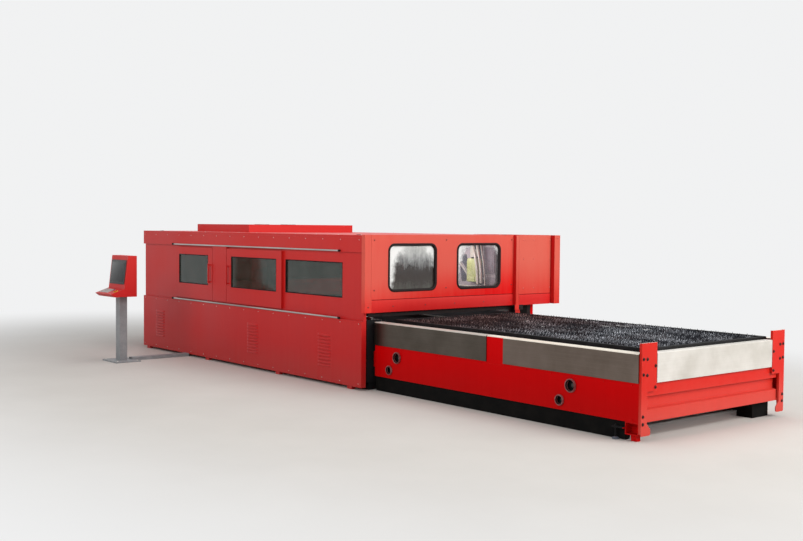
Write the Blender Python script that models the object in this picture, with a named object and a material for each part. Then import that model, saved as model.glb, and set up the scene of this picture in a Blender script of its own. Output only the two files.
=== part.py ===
"""Fiber laser cutting machine with a lifting two-pallet exchange table.

Everything is first laid out from the corner where the near side of the exchange table meets the
cabin: +X runs out along the table, +Y across it, +Z up.
The last lines move the whole machine so that its box is centred over the origin, with its feet at z 0.
"""
import math

import bmesh
import bpy
from mathutils import Matrix, Vector

GAP = 0.0003

# Exchange table
TABLE_START = 0.035
TABLE_LENGTH = 4.190
TABLE_END = TABLE_START + TABLE_LENGTH
TABLE_WIDTH = 2.550
TABLE_MIDDLE = TABLE_WIDTH / 2
SIDE_DEPTH = 0.105
WEB = 0.010
FLANGE = 0.012
FRAME_BOTTOM = 0.187
FRAME_TOP = 0.868
TRIM_BOTTOM = 0.585
TRIM_SHEET = 0.012
TRIM_TOP = FRAME_TOP + TRIM_SHEET
TRIM_PROUD = 0.014
SPLIT_START = 2.044
SPLIT_WIDTH = 0.270
SPLIT_END = SPLIT_START + SPLIT_WIDTH
CROSS_HEIGHT = 0.041
CROSS_TOP = FRAME_BOTTOM + CROSS_HEIGHT
POST_PLATE = 0.030
POST_WIDTH = 0.095
POST_SHEET = 0.010
POST_BOTTOM = 0.060
POST_PLATE_WIDTH = 0.240
POST_PLATE_BOTTOM = 0.497
POST_TOP = 0.983
SIDE_END = TABLE_END - POST_PLATE
BEAM_FACE = SIDE_END
BEAM_DEPTH = 0.060
BEAM_START = BEAM_FACE - BEAM_DEPTH
BEAM_RECESS = 0.045
BEAM_STEP_LOW = 0.125
BEAM_STEP_HIGH = 0.259
BEAM_HEIGHT = 0.388
FOOT_WIDTH = 0.310
FOOT_IN = 0.110

# Lift levels and its lever drive
LEVEL_STEP = 0.250
RAIL_TOP = 0.7447
LEDGE = 0.010
LIFT_PLATE_IN = 0.125
LIFT_PLATE_OUT = 0.135
LEDGE_REACH = 0.200
LIFT_START = 0.050
LIFT_END = BEAM_START - 0.010
LEVER_LENGTH = 0.300
LEVER_ANGLE = math.asin(LEVEL_STEP / 2 / LEVER_LENGTH)
LEVER_SHAFT_X = (0.438, 3.310)
LEVER_SHAFT_Z = 0.460
LEVER_SHAFT_RADIUS = 0.022
LEVER_NOSE_RADIUS = 0.030
LEVER_NEAR = 0.055
LEVER_WIDTH = 0.025
LEVER_CLEARANCE = 0.002
CHAIN_SHAFT_X = (0.285, 3.159)
CHAIN_SHAFT_Z = 0.290
CHAIN_SHAFT_RADIUS = 0.018
SPROCKET_RADIUS = 0.045
SPROCKET_WIDTH = 0.020
CHAIN_CLEARANCE = 0.0012
CHAIN_HEIGHT = 0.0098
CHAIN_WIDTH = 0.024
SHAFT_INSET = 0.028
BEARING_CLEARANCE = 0.0006
BEARING_PROUD = 0.022
LIFT_BORE = 0.0575
CHAIN_BORE = 0.045
LIFT_FLANGE = 0.016
CHAIN_FLANGE = 0.0145

# Pallets
PALLET_START = 0.120
PALLET_END = BEAM_START - 0.015
PALLET_RIM = 0.040
PALLET_BEAM_NEAR = 0.205
PALLET_BEAM_RISE = 0.0103
PALLET_BEAM_HEIGHT = 0.155
KEEL_SPREAD = 0.375
SLAT_COUNT = 40
SLAT_THICKNESS = 0.006
SLAT_RISE = 0.060
SLAT_HEIGHT = 0.125
WHEEL_RADIUS = 0.040
WHEEL_WIDTH = 0.032
WHEEL_NEAR = 0.167
AXLE_RADIUS = 0.012
WHEEL_INSET = 0.350

# Cutting machine
HOOD_BACK = -0.040
HOOD_FACE = 0.030
HOOD_NEAR = -0.205
HOOD_FAR = TABLE_WIDTH - 0.100
HOOD_BOTTOM = 1.000
HOOD_TOP = 1.995
HOOD_SEAM = 1.110
WINDOW_NEAR_MARGIN = 0.383
WINDOW_PILLAR = 0.375
WINDOW_FAR_MARGIN = 0.264
WINDOW_WIDTH = (HOOD_FAR - HOOD_NEAR - WINDOW_NEAR_MARGIN - WINDOW_PILLAR - WINDOW_FAR_MARGIN) / 2
WINDOW_RISE = 0.264
WINDOW_HEIGHT = 0.612
WINDOW_RADIUS = 0.095
SEAL_WIDTH = 0.025
GLASS = 0.006
CABIN_END = -6.160
CABIN_NEAR = -0.200
CABIN_FAR = TABLE_WIDTH + 0.280
CABIN_WALL = 0.040
CABIN_TOP = 1.960
ROOF_SHEET = 0.030
ROOF_TOP = CABIN_TOP + ROOF_SHEET
DOOR_RECESS = 0.035
SILL_LOW = 0.890
DOOR_LOW = 0.935
DOOR_HIGH = 1.745
BAND_LOW = 1.770
PANE_LOW = 1.165
PANE_HIGH = 1.630
FRONT_DOOR = (-3.400, -1.900)
REAR_DOOR = (-5.030, -3.830)
SIDE_BOX_GAP = 0.050
SIDE_BOX_NEAR = HOOD_FAR + SIDE_BOX_GAP
SIDE_BOX_WIDTH = 0.775
SIDE_BOX_FAR = SIDE_BOX_NEAR + SIDE_BOX_WIDTH
SIDE_BOX_FACE = 0.090
SIDE_BOX_END = -1.200
SIDE_POST_WIDTH = 0.090
CORNER_WIDTH = 0.115
CORNER_NEAR = SIDE_BOX_FAR - CORNER_WIDTH
CORNER_FACE = 0.160
BED_START = -4.750
BED_END = -0.060
BED_RAIL_END = 0.035
BED_INNER = 0.150
BED_OUTER = -0.100
BED_BOTTOM = 0.100
BED_TOP = 0.900
GUIDE_NEAR = 0.005
GUIDE_WIDTH = 0.030
GUIDE_TOP = 0.930
GANTRY_X = -3.600
GANTRY_HALF = 0.140
GANTRY_BOTTOM = 0.980
GANTRY_TOP = 1.240
CARRIAGE_Y = 0.600
HEAD_BOTTOM = 1.145
REAR_CABINET_DEPTH = 0.590
REAR_CABINET_TOP = 1.790
REAR_CABINET_NEAR = 0.200
CONSOLE_X = -4.630
CONSOLE_Y = -1.320
CONSOLE_WIDTH = 0.560

RED = (0.62, 0.035, 0.022)
STEEL = (0.56, 0.55, 0.53)
DARK = (0.022, 0.022, 0.024)
BLACK = (0.012, 0.012, 0.013)
GREY = (0.30, 0.31, 0.32)

for old in list(bpy.data.objects):
    bpy.data.objects.remove(old, do_unlink=True)


def solid(points, faces):
    """A temporary closed mesh with its faces turned outward."""
    mesh = bpy.data.meshes.new("solid")
    mesh.from_pydata(points, [], faces)
    tidy = bmesh.new()
    tidy.from_mesh(mesh)
    bmesh.ops.recalc_face_normals(tidy, faces=tidy.faces)
    tidy.to_mesh(mesh)
    tidy.free()
    return mesh


def prism(outline, axis, low, high):
    """An outline of two coordinates, pushed along the axis that it leaves out."""
    place = {
        "x": lambda p, t: (t, p[0], p[1]),
        "y": lambda p, t: (p[0], t, p[1]),
        "z": lambda p, t: (p[0], p[1], t),
    }[axis]
    count = len(outline)
    points = [place(p, low) for p in outline] + [place(p, high) for p in outline]
    faces = [tuple(range(count)), tuple(range(2 * count - 1, count - 1, -1))]
    for i in range(count):
        j = (i + 1) % count
        faces.append((i, j, count + j, count + i))
    return solid(points, faces)


def box(x0, x1, y0, y1, z0, z1):
    return prism([(x0, y0), (x1, y0), (x1, y1), (x0, y1)], "z", z0, z1)


def circle(a, b, radius, count=24, start=0.0):
    """Points around (a, b), with a flat side at the start angle."""
    step = 2 * math.pi / count
    turns = [start + (i + 0.5) * step for i in range(count)]
    return [(a + radius * math.cos(t), b + radius * math.sin(t)) for t in turns]


def rod(axis, a, b, radius, low, high, count=24):
    return prism(circle(a, b, radius, count), axis, low, high)


def rounded(a0, a1, b0, b1, radius, count=6):
    """A rectangle with round corners, as points in order."""
    corners = (
        (a1 - radius, b1 - radius, 0),
        (a0 + radius, b1 - radius, 90),
        (a0 + radius, b0 + radius, 180),
        (a1 - radius, b0 + radius, 270),
    )
    points = []
    for a, b, start in corners:
        for i in range(count + 1):
            t = math.radians(start + 90 * i / count)
            points.append((a + radius * math.cos(t), b + radius * math.sin(t)))
    return points


def ring(outer, inner, axis, low, high):
    """Two outlines of as many points each, with the space between them filled."""
    place = {
        "x": lambda p, t: (t, p[0], p[1]),
        "y": lambda p, t: (p[0], t, p[1]),
        "z": lambda p, t: (p[0], p[1], t),
    }[axis]
    count = len(outer)
    points = []
    for loop, t in ((outer, low), (outer, high), (inner, low), (inner, high)):
        points += [place(p, t) for p in loop]
    faces = []
    for i in range(count):
        j = (i + 1) % count
        faces.append((i, j, count + j, count + i))
        faces.append((2 * count + i, 3 * count + i, 3 * count + j, 2 * count + j))
        faces.append((i, 2 * count + i, 2 * count + j, j))
        faces.append((count + i, count + j, 3 * count + j, 3 * count + i))
    return solid(points, faces)


def turned(profile, x, z, count=32):
    """A closed profile of (radius, y), turned about the line along Y through (x, z)."""
    rows = len(profile)
    points = []
    for dx, dz in circle(0, 0, 1, count):
        points += [(x + r * dx, y, z + r * dz) for r, y in profile]
    faces = []
    for i in range(count):
        a, b = i * rows, (i + 1) % count * rows
        for k in range(rows):
            n = (k + 1) % rows
            faces.append((a + k, a + n, b + n, b + k))
    return solid(points, faces)


def gather(meshes):
    """Solids that stand apart, as one mesh."""
    joined = bmesh.new()
    for mesh in meshes:
        joined.from_mesh(mesh)
    whole = bpy.data.meshes.new("gathered")
    joined.to_mesh(whole)
    joined.free()
    return whole


def mirrored(mesh):
    """The same solid on the other side of the table's centre line."""
    copy = mesh.copy()
    flip = Matrix.Translation((0, TABLE_WIDTH, 0)) @ Matrix.Diagonal((1, -1, 1, 1))
    copy.transform(flip)
    copy.flip_normals()
    return copy


def both(mesh):
    return [mesh, mirrored(mesh)]


def fuse(shape, mesh, operation="UNION"):
    """One exact Boolean step, applied at once."""
    other = bpy.data.objects.new("operand", mesh)
    bpy.context.collection.objects.link(other)
    step = shape.modifiers.new("step", "BOOLEAN")
    step.solver = "EXACT"
    step.operation = operation
    step.object = other
    graph = bpy.context.evaluated_depsgraph_get()
    made = bpy.data.meshes.new_from_object(shape.evaluated_get(graph))
    shape.modifiers.clear()
    shape.data = made
    bpy.data.objects.remove(other, do_unlink=True)


def make(name, adds, cuts=(), colour=RED, roughness=0.45, metallic=0.0, origin=(0, 0, 0), later=()):
    """One named object: solids fused, cutters taken away, later solids fused in, its own material."""
    shape = bpy.data.objects.new(name, adds[0])
    bpy.context.collection.objects.link(shape)
    for mesh in adds[1:]:
        fuse(shape, mesh)
    for mesh in cuts:
        fuse(shape, mesh, "DIFFERENCE")
    for mesh in later:
        fuse(shape, mesh)
    shape.data.name = name
    shape.data.transform(Matrix.Translation(-Vector(origin)))
    shape.location = origin
    shape.data.shade_smooth()
    shape.data.set_sharp_from_angle(angle=math.radians(35))
    material = bpy.data.materials.new(name)
    material.use_nodes = True
    shader = material.node_tree.nodes["Principled BSDF"]
    shader.inputs["Base Color"].default_value = (*colour, 1)
    shader.inputs["Roughness"].default_value = roughness
    shader.inputs["Metallic"].default_value = metallic
    shape.data.materials.clear()
    shape.data.materials.append(material)
    return shape


# Table frame: two red side channels, bored for the shafts, and the cross members that join them
channel = [
    (0, FRAME_BOTTOM),
    (SIDE_DEPTH, FRAME_BOTTOM),
    (SIDE_DEPTH, FRAME_BOTTOM + FLANGE),
    (WEB, FRAME_BOTTOM + FLANGE),
    (WEB, FRAME_TOP - FLANGE),
    (SIDE_DEPTH, FRAME_TOP - FLANGE),
    (SIDE_DEPTH, FRAME_TOP),
    (0, FRAME_TOP),
]
channels = both(prism(channel, "x", TABLE_START, SIDE_END))
cross = [
    box(x - 0.04, x + 0.04, WEB / 2, TABLE_WIDTH - WEB / 2, FRAME_BOTTOM + 0.001, CROSS_TOP)
    for x in (0.62, 1.60, 2.60, LEVER_SHAFT_X[1], SIDE_END - 0.235)
]
rests = []
rest_top = RAIL_TOP - LEVEL_STEP - LEDGE - GAP
for x in (1.50, 2.45):
    rests += both(box(x - 0.03, x + 0.03, WEB / 2, LIFT_PLATE_OUT + 0.025, rest_top - 0.044, rest_top))
links = [
    box(BED_END + GAP, TABLE_START + 0.02, 0.020, 0.090, 0.300, 0.500),
    box(BED_END + GAP, TABLE_START + 0.02, TABLE_WIDTH - 0.095, SIDE_BOX_NEAR - 0.005, 0.300, 0.500),
]
low, high = FRAME_BOTTOM + 0.008, FRAME_TOP - 0.008
plates = both(box(TABLE_START, TABLE_START + 0.012, WEB / 2, SIDE_DEPTH - 0.005, low, high))
strip_outline = [
    (-0.002, TRIM_BOTTOM - 0.02),
    (WEB / 2, TRIM_BOTTOM - 0.02),
    (SIDE_DEPTH, FRAME_TOP - 0.005),
    (SIDE_DEPTH, TRIM_TOP),
    (0.008, TRIM_TOP),
    (-0.002, TRIM_TOP - 0.010),
]
strip = prism(strip_outline, "x", SPLIT_START, SPLIT_END)
bores = []
for x in LEVER_SHAFT_X:
    bores.append(rod("y", x, LEVER_SHAFT_Z, LIFT_BORE, -0.05, TABLE_WIDTH + 0.05))
for x in CHAIN_SHAFT_X:
    bores.append(rod("y", x, CHAIN_SHAFT_Z, CHAIN_BORE, -0.05, TABLE_WIDTH + 0.05))
frame_adds = [channels[0], gather(cross), channels[1], strip, gather(rests), gather(plates), gather(links)]
make("table_frame", frame_adds, [gather(bores)])

# Black plinth under both sides, tied at each end
plinth = both(box(TABLE_START, SIDE_END - 0.175, 0.022, 0.092, 0, FRAME_BOTTOM - GAP))
ties = [box(x - 0.03, x + 0.03, 0.06, TABLE_WIDTH - 0.06, 0.02, 0.12) for x in (0.30, 2.10, 3.60)]
make("table_plinth", [plinth[0], gather(ties), plinth[1]], colour=BLACK, roughness=0.7)

# Stainless trims over the top edge of each side: a face and a lip on the frame's top flange
def trim(x0, x1):
    """A folded trim, with its upper outer edge chamfered."""
    chamfer = 0.010
    outline = [
        (-TRIM_PROUD, TRIM_BOTTOM),
        (-GAP, TRIM_BOTTOM),
        (-GAP, FRAME_TOP + GAP),
        (SIDE_DEPTH, FRAME_TOP + GAP),
        (SIDE_DEPTH, TRIM_TOP),
        (-TRIM_PROUD + chamfer, TRIM_TOP),
        (-TRIM_PROUD, TRIM_TOP - chamfer),
    ]
    return prism(outline, "x", x0, x1)


trims = {
    "trim_near_front": trim(TABLE_START, SPLIT_START - GAP),
    "trim_near_rear": trim(SPLIT_END + GAP, SIDE_END),
    "trim_far": mirrored(trim(TABLE_START, SIDE_END)),
}
for name, mesh in trims.items():
    make(name, [mesh], colour=STEEL, roughness=0.32, metallic=1.0)

# End of the table: stepped red beam, its stainless trim, and the bolted posts at the corners
low = FRAME_BOTTOM
step_low, step_high, high = low + BEAM_STEP_LOW, low + BEAM_STEP_HIGH, low + BEAM_HEIGHT
beam = [
    (BEAM_START, low),
    (BEAM_FACE, low),
    (BEAM_FACE, step_low),
    (BEAM_FACE - BEAM_RECESS, step_low + 0.012),
    (BEAM_FACE - BEAM_RECESS, step_high - 0.012),
    (BEAM_FACE, step_high),
    (BEAM_FACE, high),
    (BEAM_FACE - 0.015, high),
    (BEAM_FACE - 0.015, FRAME_TOP),
    (BEAM_START, FRAME_TOP),
]
beam_ends = SIDE_DEPTH + GAP, TABLE_WIDTH - SIDE_DEPTH - GAP
make("end_beam", [prism(beam, "y", *beam_ends)])
end_trim = [
    (BEAM_FACE - 0.015 + GAP, high + 0.002),
    (TABLE_END, high + 0.002),
    (TABLE_END, TRIM_TOP - 0.010),
    (TABLE_END - 0.010, TRIM_TOP),
    (BEAM_START, TRIM_TOP),
    (BEAM_START, FRAME_TOP + GAP),
    (BEAM_FACE - 0.015 + GAP, FRAME_TOP + GAP),
]
make(
    "end_trim",
    [prism(end_trim, "y", POST_PLATE_WIDTH + 0.008, TABLE_WIDTH - POST_PLATE_WIDTH - 0.008)],
    colour=STEEL,
    roughness=0.30,
    metallic=1.0,
)

post_outline = [
    (0, POST_BOTTOM + 0.010),
    (0.010, POST_BOTTOM),
    (0.135, POST_BOTTOM),
    (0.150, POST_BOTTOM + 0.015),
    (0.150, POST_BOTTOM + 0.060),
    (POST_WIDTH, FRAME_BOTTOM - 0.010),
    (POST_WIDTH, POST_PLATE_BOTTOM),
    (POST_PLATE_WIDTH, POST_PLATE_BOTTOM),
    (POST_PLATE_WIDTH, POST_TOP),
    (0, POST_TOP),
]
face = prism(post_outline, "x", TABLE_END - POST_SHEET, TABLE_END)
inside = SIDE_END + GAP, TABLE_END - 0.001
plate_edge = POST_PLATE_WIDTH - 0.0005
stem_edge = POST_WIDTH - 0.0005
high = POST_TOP - 0.0005
returns = [
    box(*inside, 0.0005, POST_SHEET, POST_BOTTOM + 0.020, high),
    box(*inside, plate_edge - 0.0095, plate_edge, POST_PLATE_BOTTOM + 0.023, high),
    box(*inside, stem_edge - 0.0095, stem_edge, FRAME_BOTTOM - 0.037, POST_PLATE_BOTTOM + 0.063),
]
bolts = []
for y, zs in ((0.030, (0.179, 0.255, 0.671, 0.825)), (0.088, (0.662, 0.822)), (0.218, (0.536, 0.749))):
    for z in zs:
        bolts.append(prism(circle(y, z, 0.011, 6), "x", TABLE_END - 0.004, TABLE_END + 0.009))
post = [face] + returns + [gather(bolts)]
make("post_near", [m.copy() for m in post])
make("post_far", [mirrored(m) for m in post])

bracket_start = SIDE_END - 0.165
bracket = box(bracket_start, SIDE_END, 0, 0.100, 0.060, FRAME_BOTTOM - GAP)
hollow = box(bracket_start + 0.010, SIDE_END - 0.010, -0.01, 0.092, 0.070, FRAME_BOTTOM - 0.010)
leg = box(SIDE_END - 0.105, SIDE_END - 0.035, 0.020, 0.080, 0, 0.065)
pad_x = bracket_start - 0.105
ear = box(pad_x - 0.035, bracket_start + 0.005, -0.036, 0.015, 0.120, 0.130)
stud = rod("z", pad_x, -0.014, 0.010, 0.010, 0.150, 12)
pad = rod("z", pad_x, -0.014, 0.034, 0, 0.014, 24)
make("foot_bracket", [bracket, leg, ear, stud, pad], [hollow])
foot_far = TABLE_WIDTH - FOOT_IN
foot = box(SIDE_END - 0.295, SIDE_END - 0.095, foot_far - FOOT_WIDTH, foot_far, 0, FRAME_BOTTOM + 0.001 - GAP)
make("end_foot", [foot], colour=BLACK, roughness=0.6)

# Lift frame: a rail ledge for each pallet, hung from one plate a side, with pads over the levers
lift_bottom = RAIL_TOP - LEVEL_STEP
nose_x = [
    LEVER_SHAFT_X[0] + LEVER_LENGTH * math.cos(LEVER_ANGLE),
    LEVER_SHAFT_X[1] - LEVER_LENGTH * math.cos(LEVER_ANGLE),
]
nose_z = LEVER_SHAFT_Z - LEVER_LENGTH * math.sin(LEVER_ANGLE)
pad_z = nose_z + LEVER_NOSE_RADIUS + LEVER_CLEARANCE
rail = [
    (LIFT_PLATE_IN, lift_bottom - LEDGE),
    (LEDGE_REACH, lift_bottom - LEDGE),
    (LEDGE_REACH, lift_bottom),
    (LIFT_PLATE_OUT, lift_bottom),
    (LIFT_PLATE_OUT, RAIL_TOP - LEDGE),
    (LEDGE_REACH, RAIL_TOP - LEDGE),
    (LEDGE_REACH, RAIL_TOP),
    (LIFT_PLATE_IN, RAIL_TOP),
]
hangers = []
for x, side in zip(nose_x, (1, -1)):
    a, b = sorted((x - side * 0.011, x + side * 0.054))
    hangers += both(box(a, b, LEVER_NEAR - 0.015, LIFT_PLATE_OUT, pad_z, pad_z + 0.012))
    face = LIFT_PLATE_IN - 0.008, LIFT_PLATE_OUT - 0.001
    hangers += both(box(a, b, *face, pad_z + 0.006, lift_bottom + 0.065))
rails = both(prism(rail, "x", LIFT_START, LIFT_END))
near = LIFT_PLATE_IN + 0.002
cross = [
    box(x - 0.03, x + 0.03, near, TABLE_WIDTH - near, lift_bottom - 0.0747, lift_bottom - 0.0027)
    for x in (LIFT_START + 0.090, 1.000, 2.000, 2.800, LIFT_END - 0.225)
]
lift_adds = [rails[0], gather(cross), rails[1]] + hangers
make("lift_frame", lift_adds)

# Lever shafts, with a rounded lever under each pad
for name, x, side in zip(("lift_shaft_front", "lift_shaft_rear"), LEVER_SHAFT_X, (1, -1)):
    shaft = rod("y", x, LEVER_SHAFT_Z, LEVER_SHAFT_RADIUS, SHAFT_INSET, TABLE_WIDTH - SHAFT_INSET)
    tip = Vector((x + side * LEVER_LENGTH * math.cos(LEVER_ANGLE), nose_z))
    root = Vector((x, LEVER_SHAFT_Z))
    along = (tip - root).normalized()
    across = Vector((-along.y, along.x))
    arm = [root + across * 0.036, root - across * 0.036, tip - across * 0.018, tip + across * 0.018]
    y = LEVER_NEAR, LEVER_NEAR + LEVER_WIDTH
    levers = []
    for mesh in (
        prism([tuple(p) for p in arm], "y", *y),
        rod("y", *root, 0.040, *y),
        rod("y", *tip, LEVER_NOSE_RADIUS, *y),
    ):
        levers += both(mesh)
    make(
        name, [shaft] + levers, colour=GREY, roughness=0.4, metallic=0.8, origin=(x, 0, LEVER_SHAFT_Z)
    )

# Flanged bearings in the near side: an outer ring and a sleeve in to the hub that holds the shaft
for kind, xs, z, radius, hole, rim in (
    ("lift", LEVER_SHAFT_X, LEVER_SHAFT_Z, LEVER_SHAFT_RADIUS, LIFT_BORE, LIFT_FLANGE),
    ("chain", CHAIN_SHAFT_X, CHAIN_SHAFT_Z, CHAIN_SHAFT_RADIUS, CHAIN_BORE, CHAIN_FLANGE),
):
    for end, x in zip(("front", "rear"), xs):
        inner = hole - 0.004
        outer = hole - 0.001
        bore = radius + BEARING_CLEARANCE
        profile = [
            (bore, SHAFT_INSET + 0.004),
            (bore, SHAFT_INSET + 0.015),
            (outer, SHAFT_INSET + 0.015),
            (outer, -GAP),
            (hole + rim, -GAP),
            (hole + rim, -BEARING_PROUD),
            (inner, -BEARING_PROUD),
            (inner, SHAFT_INSET + 0.004),
        ]
        collar = turned(profile, x, z)
        make("bearing_%s_%s" % (kind, end), [collar], colour=GREY, metallic=0.7)

# Chain drive that draws the pallets: two sprocket shafts and the chain round them
middle = TABLE_MIDDLE
half = SPROCKET_WIDTH / 2
for end, x in zip(("front", "rear"), CHAIN_SHAFT_X):
    shaft = rod("y", x, CHAIN_SHAFT_Z, CHAIN_SHAFT_RADIUS, SHAFT_INSET, TABLE_WIDTH - SHAFT_INSET)
    wheel = rod("y", x, CHAIN_SHAFT_Z, SPROCKET_RADIUS, middle - half, middle + half, 32)
    hub = rod("y", x, CHAIN_SHAFT_Z, CHAIN_SHAFT_RADIUS + 0.012, middle - 0.030, middle + 0.030)
    make(
        "chain_shaft_" + end,
        [shaft, wheel, hub],
        colour=GREY,
        metallic=0.8,
        origin=(x, 0, CHAIN_SHAFT_Z),
    )


def loop(radius, count=16):
    """The line that a chain takes round both sprockets."""
    points = []
    for x, start in ((CHAIN_SHAFT_X[1], -90), (CHAIN_SHAFT_X[0], 90)):
        for i in range(count + 1):
            t = math.radians(start + 180 * i / count)
            points.append((x + radius * math.cos(t), CHAIN_SHAFT_Z + radius * math.sin(t)))
    return points


inner = SPROCKET_RADIUS + CHAIN_CLEARANCE
half = CHAIN_WIDTH / 2
chain = ring(loop(inner + CHAIN_HEIGHT), loop(inner), "y", middle - half, middle + half)
make("drive_chain", [chain], colour=DARK, metallic=0.8)

# Gearmotor on the rear lever shaft, on its stand over the last cross member
x = LEVER_SHAFT_X[1]
y = TABLE_MIDDLE + 0.295
z = LEVER_SHAFT_Z
gearbox = box(x - 0.065, x + 0.065, y - 0.070, y + 0.070, z - 0.090, z + 0.036)
stand = box(x - 0.035, x + 0.035, y - 0.050, y + 0.050, CROSS_TOP + GAP, z - 0.085)
motor = rod("x", y, z - 0.050, 0.048, x - 0.340, x - 0.060)
hole = rod("y", x, z, LEVER_SHAFT_RADIUS + BEARING_CLEARANCE, y - 0.17, y + 0.13)
make("lift_gearmotor", [gearbox, stand, motor], [hole], colour=GREY, roughness=0.5)

# Pallets, one at each level of the lift, each on two wheelsets that roll on its ledges
for level, drop in (("upper", 0.0), ("lower", LEVEL_STEP)):
    rail_z = RAIL_TOP - drop
    base = rail_z + PALLET_BEAM_RISE
    top = base + PALLET_BEAM_HEIGHT
    axle_z = rail_z + GAP + WHEEL_RADIUS
    slat_z = rail_z + SLAT_RISE
    near = PALLET_BEAM_NEAR, PALLET_BEAM_NEAR + PALLET_RIM
    far = TABLE_WIDTH - near[1], TABLE_WIDTH - near[0]
    end = PALLET_END
    rim = ring(
        [(PALLET_START, near[0]), (end, near[0]), (end, far[1]), (PALLET_START, far[1])],
        [
            (PALLET_START + PALLET_RIM, near[1]),
            (end - PALLET_RIM, near[1]),
            (end - PALLET_RIM, far[0]),
            (PALLET_START + PALLET_RIM, far[0]),
        ],
        "z",
        base,
        top,
    )
    pitch = (end - PALLET_START - 2 * PALLET_RIM) / (SLAT_COUNT + 1)
    slats = []
    for i in range(SLAT_COUNT):
        at = PALLET_START + PALLET_RIM + pitch * (i + 1)
        a, b = at - SLAT_THICKNESS / 2, at + SLAT_THICKNESS / 2
        slats.append(box(a, b, near[0] + 0.02, far[1] - 0.02, slat_z, slat_z + SLAT_HEIGHT))
    keels = [
        box(PALLET_START + 0.02, end - 0.02, y - 0.015, y + 0.015, slat_z - 0.006, slat_z + 0.030)
        for y in (TABLE_MIDDLE - KEEL_SPREAD, TABLE_MIDDLE + KEEL_SPREAD)
    ]
    holes = [
        rod("y", x, axle_z, AXLE_RADIUS + 0.0008, 0, TABLE_WIDTH)
        for x in (PALLET_START + WHEEL_INSET, end - WHEEL_INSET)
    ]
    make("pallet_" + level, [rim, gather(keels), gather(slats)], [gather(holes)], colour=DARK, roughness=0.7)
    for place, at in (("front", PALLET_START + WHEEL_INSET), ("rear", end - WHEEL_INSET)):
        axle = rod("y", at, axle_z, AXLE_RADIUS, WHEEL_NEAR + 0.01, TABLE_WIDTH - WHEEL_NEAR - 0.01)
        wheels = both(rod("y", at, axle_z, WHEEL_RADIUS, WHEEL_NEAR, WHEEL_NEAR + WHEEL_WIDTH, 32))
        make(
            "wheelset_%s_%s" % (level, place),
            [axle] + wheels,
            colour=GREY,
            metallic=0.8,
            origin=(at, 0, axle_z),
        )

# Machine bed: a box beam a side, cross members, a rear wall, straps to the cabin and feet
walls = both(box(BED_START, BED_END, BED_OUTER, BED_INNER, BED_BOTTOM, BED_TOP))
near, low = BED_INNER - 0.02, BED_BOTTOM + 0.001
members = [
    box(x - 0.06, x + 0.06, near, TABLE_WIDTH - near, low, low + 0.119)
    for x in (BED_START + 0.75, -2.8, -1.6, BED_END - 0.34)
]
rear_wall = box(BED_START, BED_START + 0.05, near, TABLE_WIDTH - near, low, BED_TOP - 0.02)
straps = []
strap_z = BED_TOP - 0.036, BED_TOP - 0.014
near_wall = CABIN_NEAR + DOOR_RECESS + CABIN_WALL
far_wall = CABIN_FAR - CABIN_WALL
for x in (BED_START + 0.55, -2.4, BED_END - 0.54):
    straps.append(box(x - 0.03, x + 0.03, near_wall + GAP, BED_OUTER + 0.010, *strap_z))
    straps.append(box(x - 0.03, x + 0.03, TABLE_WIDTH - BED_OUTER - 0.010, far_wall - GAP, *strap_z))
feet = []
for x in (BED_START + 0.15, -3.1, -1.6, BED_END - 0.09):
    feet += both(box(x - 0.07, x + 0.07, BED_OUTER + 0.05, BED_INNER - 0.06, 0, BED_BOTTOM + 0.005))
make(
    "bed",
    [
        walls[0],
        gather(members),
        walls[1],
        rear_wall,
        gather(feet),
        gather(straps),
    ],
    colour=GREY,
    roughness=0.6,
)

# Rails along the bed for the pallet wheels, at the level of the lift's upper ledges
rail = box(BED_START + 0.40, BED_RAIL_END, BED_INNER + GAP, LEDGE_REACH, RAIL_TOP - LEDGE, RAIL_TOP)
for name, mesh in zip(("bed_rail_near", "bed_rail_far"), both(rail)):
    make(name, [mesh], colour=GREY, roughness=0.5, metallic=0.8)

# Guides on the bed
guide = box(BED_START + 0.03, BED_END - 0.04, GUIDE_NEAR, GUIDE_NEAR + GUIDE_WIDTH, BED_TOP + GAP, GUIDE_TOP)
for name, mesh in zip(("x_guide_near", "x_guide_far"), both(guide)):
    make(name, [mesh], colour=STEEL, roughness=0.25, metallic=1.0)

# Gantry: beam with its guides, a saddle at each end that straddles the bed's guide, and its drives
x = GANTRY_X
saddles = both(box(x - 0.200, x + 0.200, -0.050, 0.090, BED_TOP + 0.006, GANTRY_BOTTOM + 0.02))
near_groove = GUIDE_NEAR - 0.0006
far_groove = GUIDE_NEAR + GUIDE_WIDTH + 0.0006
grooves = both(box(x - 0.3, x + 0.3, near_groove, far_groove, BED_TOP - 0.02, GUIDE_TOP + 0.0006))
beam = box(x - GANTRY_HALF, x + GANTRY_HALF, -0.050, TABLE_WIDTH + 0.050, GANTRY_BOTTOM, GANTRY_TOP)
track_face = x + GANTRY_HALF + 0.020
tracks = [
    box(x + GANTRY_HALF - 0.01, track_face, 0.06, TABLE_WIDTH - 0.06, z - 0.012, z + 0.012)
    for z in (GANTRY_BOTTOM + 0.050, GANTRY_TOP - 0.050)
]
motors = []
for shape in (
    box(x - 0.300, x - 0.199, -0.035, 0.075, BED_TOP + 0.040, BED_TOP + 0.085),
    rod("z", x - 0.250, 0.020, 0.045, BED_TOP + 0.080, BED_TOP + 0.260),
):
    motors += both(shape)
make("gantry", [beam, gather(saddles), gather(tracks)] + motors, grooves, origin=(x, 0, GUIDE_TOP))
y = CARRIAGE_Y
carriage_x = track_face + 0.0005
carriage_bottom = GANTRY_BOTTOM + 0.020
carriage_top = GANTRY_TOP + 0.210
carriage = box(carriage_x, carriage_x + 0.040, y - 0.150, y + 0.150, carriage_bottom, carriage_top)
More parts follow.
